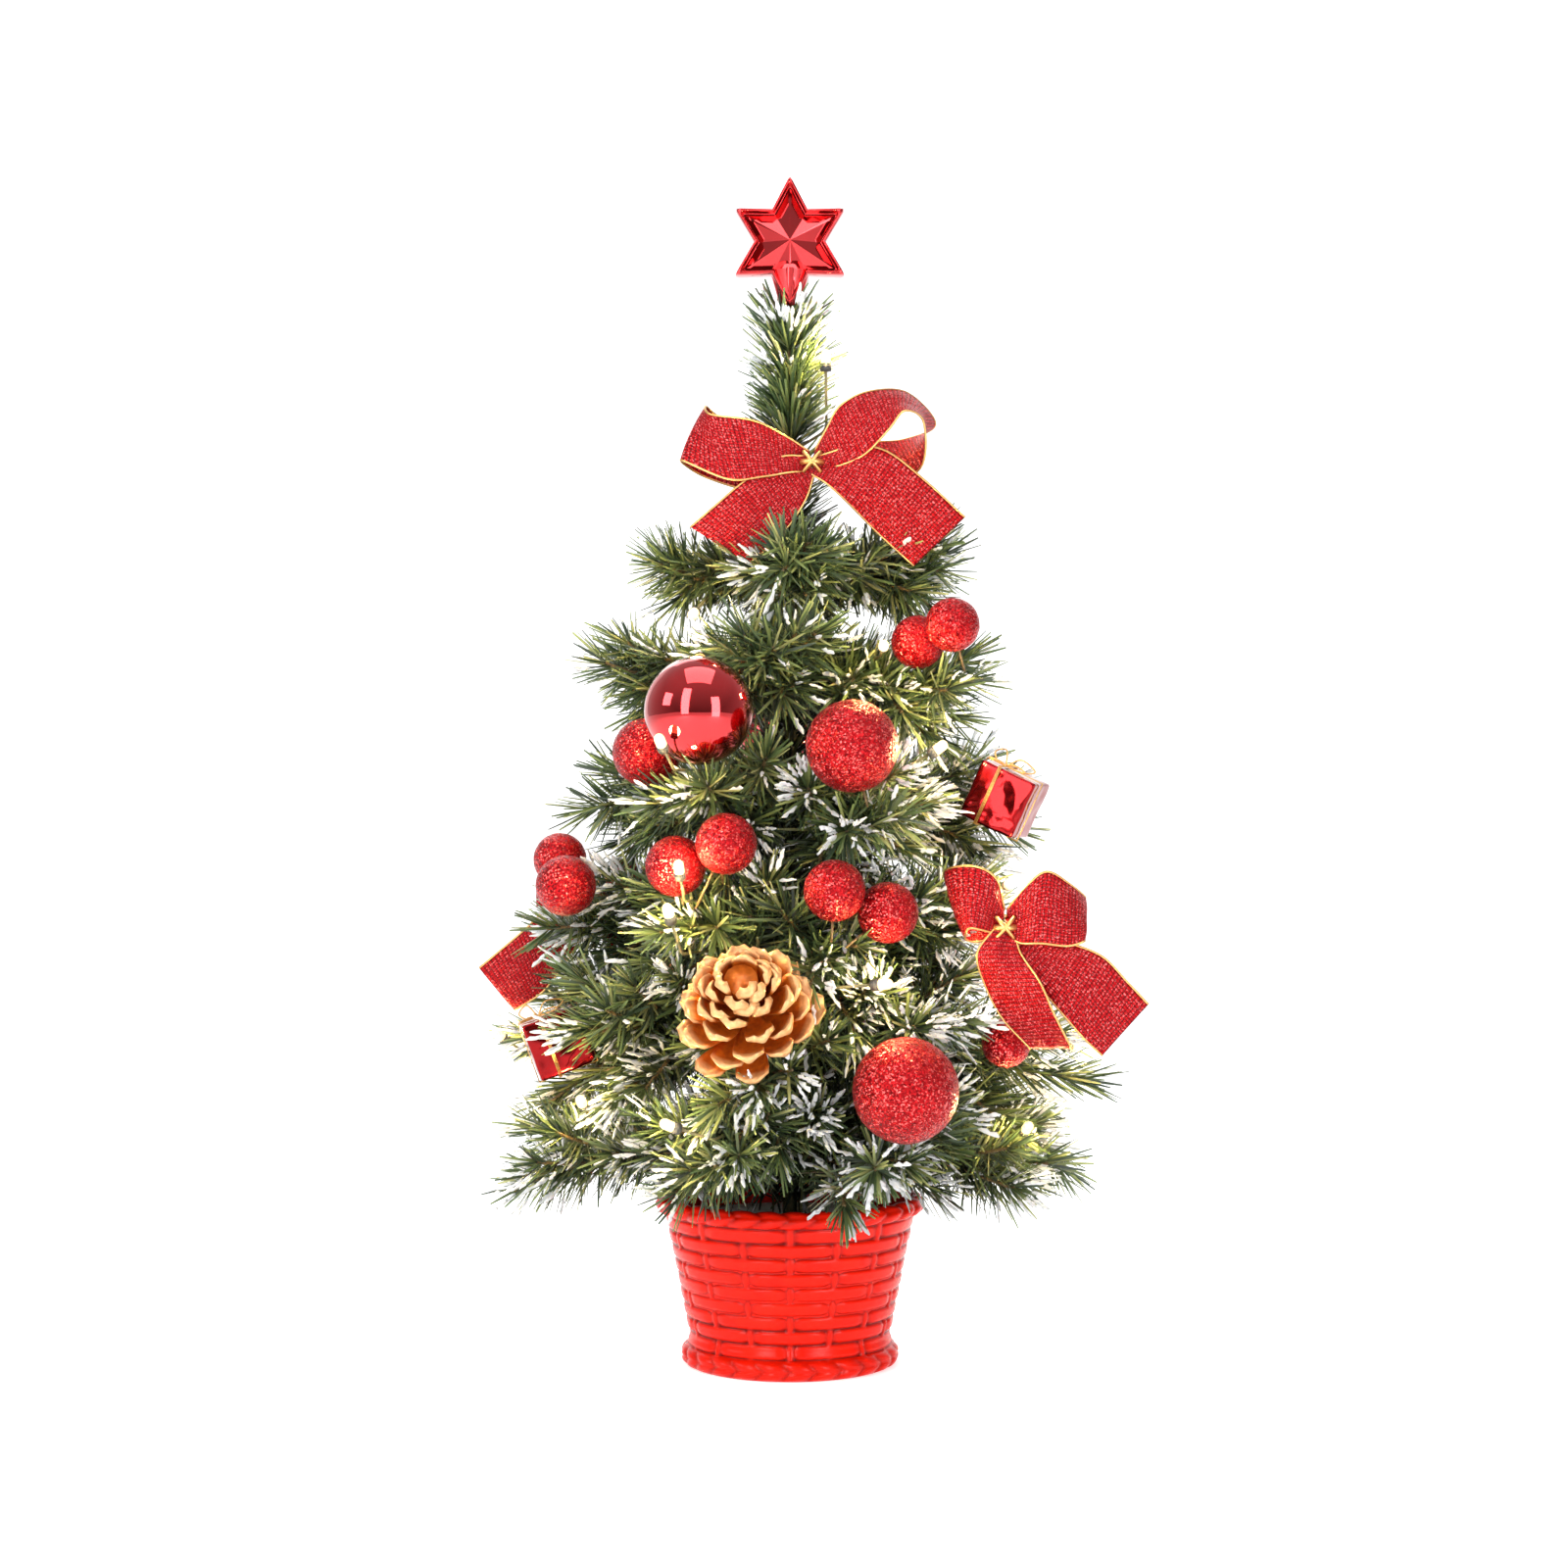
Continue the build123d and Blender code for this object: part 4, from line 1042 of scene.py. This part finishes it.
def make_pot_floor():
    """The floor inside the foot, open for the battery housing."""
    hole_x, hole_y, edge, steps = 24.2 * MM, 27.2 * MM, 38.3 * MM, 96
    verts, faces = [], []
    for z in (4.0 * MM, 5.95 * MM):
        for outer in (True, False):
            for a in around(steps, 0.5):
                reach = min(hole_x / max(abs(math.cos(a)), 1e-9), hole_y / max(abs(math.sin(a)), 1e-9))
                r = edge if outer else reach
                verts.append((r * math.cos(a), r * math.sin(a), z))
    low_out, low_in, top_out, top_in = (j * steps for j in range(4))
    for k in range(steps):
        n = (k + 1) % steps
        faces += [(low_out + k, low_out + n, low_in + n, low_in + k),
                  (top_out + k, top_in + k, top_in + n, top_out + n),
                  (low_out + k, top_out + k, top_out + n, low_out + n),
                  (low_in + k, low_in + n, top_in + n, top_in + k)]
    floor = new_object("pot_floor", verts, faces, ["pot"], smooth=False)
    recalc(floor)
    settle(floor, NODE_BODY["pot"], NODE_SLOT["pot"])


# ---------------------------------------------------------------- star
STAR_Z, STAR_TALL, STAR_WIDE = 472.9 * MM, 28.6 * MM, 27.4 * MM


def make_star():
    """A six-pointed faceted star with blunt edges."""
    (low, high), (_, back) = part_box("star_front_shell"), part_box("star_back_shell")
    centre = Vector(((low.x + high.x) / 2, (low.y + back.y) / 2, STAR_Z))
    depth = (back.y - low.y) / 2
    corners = []
    for i in range(12):
        r, a = 0.56 if i % 2 else 1.0, math.radians(90 + 30 * i)
        corners.append(Vector((r * math.cos(a), 0, r * math.sin(a))))
    outline = []
    for i, corner in enumerate(corners):
        if i % 2:
            outline.append(corner)
        else:
            before, after = corners[i - 1], corners[(i + 1) % 12]
            outline += [corner.lerp(before, 0.13), corner.lerp((before + after) / 2, 0.05), corner.lerp(after, 0.13)]
    levels = [(0.84, 0.3), (0.865, 0.42), (0.89, 0.68), (0.93, 0.8), (0.97, 0.7), (0.995, 0.4), (1.0, 0.1)]
    work = bmesh.new()
    rings = []
    for share, out in [*levels, *[(share, -out) for share, out in reversed(levels)]]:
        rings.append([work.verts.new(centre + Vector((STAR_WIDE * share * p.x, -depth * out, STAR_TALL * share * p.z)))
                      for p in outline])
    for ring, other in zip(rings, rings[1:]):
        for k in range(len(outline)):
            n = (k + 1) % len(outline)
            work.faces.new((ring[k], ring[n], other[n], other[k]))
    for ring, way in ((rings[0], -1), (rings[-1], 1)):
        tip = work.verts.new(centre + Vector((0, way * depth, 0)))
        for k in range(len(outline)):
            work.faces.new((ring[k], ring[(k + 1) % len(outline)], tip))
    bmesh.ops.recalc_face_normals(work, faces=work.faces)
    piece = from_work("faceted_star", work, "mirror")
    piece.data.polygons.foreach_set("use_smooth", [len(f.vertices) > 3 for f in piece.data.polygons])
    settle(piece, NODE_BODY["star_front_shell"], "red_mirror", "star_front_shell", "star_back_shell")


# ---------------------------------------------------------------- ribbons
RIBBON_WIDTH, RIBBON_THICK, EDGE_R = 28 * MM, 0.45 * MM, 0.45 * MM
ACROSS, SPAN_STEPS = 14, 9


def ribbon(name, knot, stations, node):
    """A strip of ribbon through stations (centre, half width), in millimetres from the knot, wired at its edges."""
    middles = smooth_line([knot + Vector(c) * MM for c, _ in stations], SPAN_STEPS)
    halves = smooth_line([Vector(h) * MM for _, h in stations], SPAN_STEPS)
    rows = len(middles)
    phase = random.Random(name).uniform(0, 6)
    grid, normals, lengths = [], [], [0.0]
    for a, b in zip(middles, middles[1:]):
        lengths.append(lengths[-1] + (b - a).length)
    for i in range(rows):
        ahead = (middles[min(i + 1, rows - 1)] - middles[max(i - 1, 0)]).normalized()
        normal = ahead.cross(halves[i]).normalized()
        normals.append(normal)
        wide = min(1.0, halves[i].length / (13 * MM))
        row = []
        for k in range(ACROSS + 1):
            v = 2 * k / ACROSS - 1
            pleat = (1 - wide) * 1.6 * MM * math.sin(4.5 * v + phase) * (1 - v * v)
            crown = 1.1 * MM * wide * (1 - v * v) * math.sin(lengths[i] / (14 * MM) + phase)
            row.append(middles[i] + halves[i] * v + normal * (pleat + crown))
        grid.append(row)
    verts = [p + n * side * RIBBON_THICK / 2 for side in (1, -1) for row, n in zip(grid, normals) for p in row]
    piece = new_object(name, verts, sheet_faces(rows, ACROSS), ["ribbon"])
    places = [(lengths[i], (k / ACROSS) * RIBBON_WIDTH) for i in range(rows) for k in range(ACROSS + 1)] * 2
    layer = piece.data.uv_layers.new(name="UVMap")
    for loop in piece.data.loops:
        layer.data[loop.index].uv = places[loop.vertex_index]
    recalc(piece, merge=False)
    edges = Bundle()
    for k in (0, ACROSS):
        edges.add(*tube([row[k] for row in grid], EDGE_R))
    wires = edges.build(name + "_edges", ["gold"])
    recalc(wires)
    settle(piece, NODE_BODY[node], NODE_SLOT[node], node)
    settle(wires, NODE_BODY[node], NODE_SLOT[node])


# Each strip's stations: (centre, half width), in millimetres from its bow's knot
BOWS = {
    "top_bow": {
        "left_loop": [
            ((-1, -5, 0.5), (0, 0, 4)), ((-10, -9, 3), (-1, 0, 7.5)), ((-22, -11, 5), (-2, 0, 11.5)),
            ((-38, -9, 6), (-3.5, 2, 13.5)), ((-49, -2, 12.5), (5, 3, 11.5)), ((-42, 6, 8), (3, 0, 12.5)),
            ((-25, 8, 1), (0, 0, 11)), ((-10, 4, 0), (0, 0, 6)), ((-1, 0, 0), (0, 0, 3.5))],
        "right_loop": [
            ((1, -5, 0.5), (0, 0, 4)), ((9, -9, 6), (-3, 0, 7.5)), ((17, -11, 13), (-5, 0, 10)),
            ((28, -10, 21), (-3.5, 5, 8.5)), ((39, -5, 25), (1, 10, 5)), ((49, 2, 17), (3, 11, 1)),
            ((42, 7, 5), (-3, 9, 7)), ((26, 8, 1), (-2, 2, 9)), ((11, 4, 0), (0, 0, 6)), ((1, 0, 0), (0, 0, 3.5))],
        "left_tail": [
            ((-1, -7, -1), (-2, 0, 3.5)), ((-8, -9, -7), (-5.5, 0, 8.5)), ((-19, -10, -18), (-8.5, 0, 10)),
            ((-29, -9, -27), (-10.5, 0, 9)), ((-38, -8, -34.5), (-12, 0, 7.5))],
        "right_tail": [
            ((1, -7, -1), (2, 0, 3.5)), ((12, -10, -2), (5, 0, 8)), ((23, -11, -7), (7.5, 0, 11)),
            ((37, -10, -19), (9.5, 0, 11)), ((52.5, -8, -33), (10.5, 0, 10))],
    },
    "right_bow": {
        "left_loop": [
            ((-1, -6, 2), (1, 0, 5)), ((-6, -10, 9), (2.5, 0, 10)), ((-13, -11, 12), (1, 1, 12)),
            ((-19, -6, 10), (-3.5, 4, 12.5)), ((-18, 2, 6), (-3, 6, 11)), ((-10, 5, 2), (0, 4, 8)),
            ((-1, 0, 0), (0, 0, 4))],
        "right_loop": [
            ((1, -6, 2), (0, 0, 5)), ((7, -10, 5), (1, 0, 11)), ((15, -12, 8), (1, 0, 14)), ((25, -9, 5), (0.5, 3, 12)),
            ((32, -2, 3), (1, 8, 8)), ((24, 5, 4), (1, 4, 10)), ((11, 4, 2), (0, 0, 7)), ((1, 0, 0), (0, 0, 4))],
        "left_tail": [
            ((0, -8, -1), (-4, 0, 1)), ((-2.5, -10, -10), (-8.5, 0, 0)), ((2.5, -12, -21.5), (-10.5, 5, -0.5)),
            ((8.5, -12, -34), (-9.5, 6, -1.5)), ((18, -10, -47.5), (-7.5, 6, -0.5))],
        "right_tail": [
            ((2, -7, -2), (2, 0, 3)), ((16, -9, -12), (6, 0, 7)), ((30, -11, -22.5), (7.5, 2, 11.5)),
            ((39, -11, -32), (8.5, 2, 11)), ((47, -9, -40), (9, 0, 10))],
    },
    "left_bow": {
        "left_loop": [
            ((-1, -5, 0), (0, 0, 4)), ((-12, -9, 5), (0, 0, 10)), ((-23, -6, 1), (0, 6, 11)), ((-27, 1, -1), (0, 9, 9)),
            ((-14, 6, 0), (0, 3, 10)), ((-1, 1, 0), (0, 0, 4))],
        "right_loop": [
            ((1, -5, 0), (0, 0, 4)), ((8, -9, 1), (-1, 0, 10)), ((16, -5, -2), (0, 6, 9)), ((19, 2, -1), (0, 9, 7)),
            ((10, 6, 1), (0, 3, 9)), ((1, 1, 0), (0, 0, 4))],
        "left_tail": [
            ((-1, -7, -2), (-2, 0, 3)), ((-12, -10, -12), (-5, 0, 8)), ((-28, -11, -31), (-5, 0, 12)),
            ((-44.5, -9, -44), (-7.5, 0, 9))],
        "right_tail": [
            ((1, -7, -2), (3, 0, 1)), ((7, -10, -13), (9, 0, 2)), ((15, -11, -27), (11, 0, 3))],
    },
}


def make_bows():
    for node, strips in BOWS.items():
        ties = [p for p in lumps(node) if p.radius < 2 * MM]
        knot = ties[0].centre.copy()
        knot.y += 9 * MM
        for part, stations in strips.items():
            ribbon(f"{node}_{part}", knot, stations, node)
        tie = Bundle()
        for lean in (-0.7, 0.7):
            way = Vector((math.sin(lean), 0, math.cos(lean)))
            line = [knot + Vector((0, -8.6 * MM, 0)) + way * t * 5.5 * MM - Vector((0, (1 - t * t) * 2.4 * MM, 0))
                    for t in (i / 8 - 1 for i in range(17))]
            tie.add(*tube(line, 0.75 * MM, 8))
        loop = [knot + Vector((4.6 * MM * math.sin(a), -4 * MM + 6.3 * MM * math.cos(a), 0)) for a in
                (2 * math.pi * i / 24 for i in range(25))]
        tie.add(*tube(loop, 1.3 * MM, 8))
        piece = tie.build(node + "_tie", ["gold"])
        recalc(piece)
        settle(piece, NODE_BODY[node], NODE_SLOT[node])


# ---------------------------------------------------------------- pine cones
CONE_AXES = {"pine_cone": (-0.1, -0.83, 0.55), "back_pine_cone": (0.24, 0.83, 0.51)}
SCALES, GOLDEN_ANGLE = 48, 137.508


def scale_shape(length, width, lift):
    """One woody scale along +X, curling up by lift, with a thick rounded tip."""
    along, across = 7, 6
    tops, unders, tips = [], [], []
    for i in range(along + 1):
        t = i / along
        nose = 1 if t < 0.8 else math.sqrt(max(0.0, 1 - ((t - 0.8) / 0.22) ** 2))
        half = width / 2 * (0.3 + 0.7 * math.sin(min(1.0, 1.25 * t) * math.pi / 2)) * nose
        thick = (0.7 + 2.4 * t ** 4) * MM
        for k in range(across + 1):
            v = 2 * k / across - 1
            place = Vector((t * length, half * v, lift * length * t * t + 0.16 * width * v * v))
            tops.append(place + Vector((0, 0, thick / 2)))
            unders.append(place - Vector((0, 0, thick / 2 + 0.5 * MM * (1 - v * v) * t)))
            tips.append(1.0 if i >= along - 1 else 0.35 * t ** 2 + 0.3 * v ** 8)
    return tops + unders, sheet_faces(along + 1, across), tips + tips


def make_cones():
    for node, axis in CONE_AXES.items():
        centre = next(p for p in lumps(node) if max(p.size) > 30 * MM).centre
        axis = Vector(axis).normalized()
        side = axis.orthogonal().normalized()
        draw = random.Random(node)
        bundle = Bundle()
        bundle.add(*tube([centre + axis * z * MM for z in (-20, -8, 4, 14, 19)], 6.5 * MM, 12))
        for i in range(SCALES):
            t = i / (SCALES - 1)
            a = math.radians(GOLDEN_ANGLE * i + draw.uniform(-7, 7))
            out = side * math.cos(a) + axis.cross(side) * math.sin(a)
            height = (-17 + 26 * t) * MM
            rise = math.radians(-18 + 84 * t ** 1.1 + draw.uniform(-6, 6))
            length = (22.0 - 9.0 * max(0, t - 0.3) / 0.7) * MM * draw.uniform(0.92, 1.05)
            width = (13.5 - 4.5 * t) * MM * draw.uniform(0.9, 1.1)
            verts, faces, tips = scale_shape(length, width, 0.16 + 0.2 * (1 - t))
            x = out * math.cos(rise) + axis * math.sin(rise)
            y = (axis.cross(out).normalized() + axis * draw.uniform(-0.14, 0.14)).normalized()
            x = (x - y * x.dot(y)).normalized()
            turn = Matrix((x, y, x.cross(y))).transposed()
            root = centre + axis * height + out * 4.5 * MM
            bundle.add([root + turn @ v for v in verts], faces, value=tips)
        for p in lumps(node):
            if p.radius < PICK_R:
                bundle.add(p.verts, p.faces, slot=1)
        piece = bundle.build(node + "_scales", ["cone", "wire"], "tip")
        recalc(piece, merge=False)
        settle(piece, NODE_BODY[node], NODE_SLOT[node], node)


# ---------------------------------------------------------------- gift boxes
def make_gifts():
    for node in [n for n in frame["nodes"] if NODE_SLOT[n] == "red_foil"]:
        box = next(p for p in lumps(node) if len(p.verts) == 8)
        corner = box.verts[0]
        near = sorted(box.verts[1:], key=lambda v: (v - corner).length)[:3]
        axes = [(v - corner).normalized() for v in near]
        half = (near[0] - corner).length / 2
        x = max(axes, key=lambda a: abs(a.x))
        x = x if x.x > 0 else -x
        y = max(axes, key=lambda a: abs(a.y))
        y = y if y.y > 0 else -y
        turn = Matrix((x, y, x.cross(y))).transposed()
        work = bmesh.new()
        bmesh.ops.create_cube(work, size=2 * half - 0.6 * MM)
        bmesh.ops.bevel(work, geom=work.edges[:], offset=1.0 * MM, segments=3, profile=0.55, affect="EDGES")
        long_edges = [e for e in work.edges if e.calc_length() > half]
        bmesh.ops.subdivide_edges(work, edges=long_edges, cuts=14, use_grid_fill=True)
        for vert in work.verts:
            push = noise.noise(vert.co * 130) + 0.5 * noise.noise(vert.co * 300)
            vert.co += vert.co.normalized() * push * 0.45 * MM
            vert.co = box.centre + turn @ vert.co
        bmesh.ops.recalc_face_normals(work, faces=work.faces)
        settle(from_work(node + "_foil", work, "foil"), NODE_BODY[node], NODE_SLOT[node], node)
        threads = Bundle()
        out, shift = half + 0.35 * MM, -0.33 * half
        square = [(-1, -1), (1, -1), (1, 1), (-1, 1), (-1, -1)]
        for i in range(3):
            d = shift + (i - 1) * 0.5 * MM
            for ring in ([(d, out * u, out * w) for u, w in square], [(out * u, d, out * w) for u, w in square]):
                threads.add(*tube([box.centre + turn @ Vector(p) for p in ring], 0.22 * MM, 5))
        top = box.centre + turn @ Vector((shift, shift, out))
        for reach, lift, lean in ((12, 5, 0.2), (-7, 6, 0.5), (9, 2, -0.6), (-8, 1, -0.4)):
            loop = [(0, 0, 0), (0.4 * reach, 2 * lean, lift), (reach, 3 * lean, 0.6 * lift),
                    (0.6 * reach, 2 * lean, 0.3), (0, 0, 0.4)]
            threads.add(*tube(smooth_line([top + turn @ (Vector(p) * MM) for p in loop], 6), 0.35 * MM, 5))
        piece = threads.build(node + "_thread", ["gold"])
        recalc(piece)
        settle(piece, NODE_BODY[node], NODE_SLOT[node])


# ---------------------------------------------------------------- CAD pieces that keep their own meshes
KEPT = {
    "pot_filler": "plaster", "trunk": "bark", "trunk_bindings": "tape", "battery_housing": "case",
    "battery_cells": "can", "battery_contacts": "steel", "battery_door": "case", "switch_slider": "case",
    "star_socket": "mirror",
}


def finish_kept():
    for node, key in KEPT.items():
        mesh = frame["nodes"][node].data
        mesh.materials.clear()
        mesh.materials.append(MATERIALS[key])


# ---------------------------------------------------------------- the whole tree
make_camera()
make_lights()
make_floor()
finish_kept()

PLAIN_NEEDLE = needle_shape("plain_needle", False, 1)
FROSTED_NEEDLES = bpy.data.collections.new("frosted_needles")
for kind in range(FROSTED_KINDS):
    shape = needle_shape(f"frosted_needle_{kind}", True, 2 + kind)
    bpy.context.collection.objects.unlink(shape)
    FROSTED_NEEDLES.objects.link(shape)
BOW_TREES = {}
for bow in FRONT_BOWS:
    shell = bmesh.new()
    shell.from_mesh(frame["nodes"][bow].data)
    BOW_TREES[bow] = BVHTree.FromBMesh(shell)
    shell.free()
KEEP_CLEAR = keep_clear_mesh()
BRUSH = brush_tree()

hinges = {j["child"]: j["pos_m"] for j in frame["joints"] if j["type"] == "hinge"}
for branch in sorted(n for n in frame["nodes"] if n.startswith("branch_")):
    branch_foliage(branch, hinges[NODE_BODY[branch]])

sprig_low, sprig_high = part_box("top_sprig")
sprig = grow_brushes("top_sprig_needles", [
    [Vector((5 * MM * math.cos(turn) * i / 6, 5 * MM * math.sin(turn) * i / 6,
             sprig_low.z - 6 * MM + (sprig_high.z - sprig_low.z + 2 * MM) * i / 6)) for i in range(7)]
    for turn in (0.4, 2.5, 4.6)],
    **{"Frost": 0.5, "Seed": 11, "Spacing": 0.24 * MM, "Length": 1.15, "Frost Start": 0.0, "Root Lean": 1.0,
       "Tip Lean": 0.75, "Wire Radius": 0.6 * MM})
settle(sprig, NODE_BODY["top_sprig"], NODE_SLOT["top_sprig"], "top_sprig")
for step in range(4):
    low, high = (66 + 78 * step) * MM, (66 + 78 * (step + 1)) * MM
    core = grow_brushes(f"trunk_needles_{step}", [[Vector((0, 0, low + (high - low) * i / 6)) for i in range(7)]],
                        **{"Frost": 0.1, "Seed": 20 + step, "Length": 1.15, "Spacing": 0.16 * MM, "Tip Lean": 1.1})
    settle(core, NODE_BODY["trunk"], "needles")

skirt = grow_brushes("low_needles", [
    curved(Vector((8 * MM * math.cos(a), 8 * MM * math.sin(a), 80 * MM)),
           Vector((36 * MM * math.cos(a), 36 * MM * math.sin(a), 84 * MM)), Vector())
    for a in (2 * math.pi * i / 9 for i in range(9))], **{"Frost": 0.05, "Seed": 31, "Spacing": 0.42 * MM})
settle(skirt, NODE_BODY["trunk"], "needles")
lamps_and_leads("light_wire", lumps("light_wire"), NODE_BODY["light_wire"])
make_balls()
make_pot()
make_star()
make_bows()
make_cones()
make_gifts()

for helper in (PLAIN_NEEDLE, KEEP_CLEAR, *FROSTED_NEEDLES.objects):
    bpy.data.objects.remove(helper)

bpy.context.scene.view_settings.view_transform = "Standard"
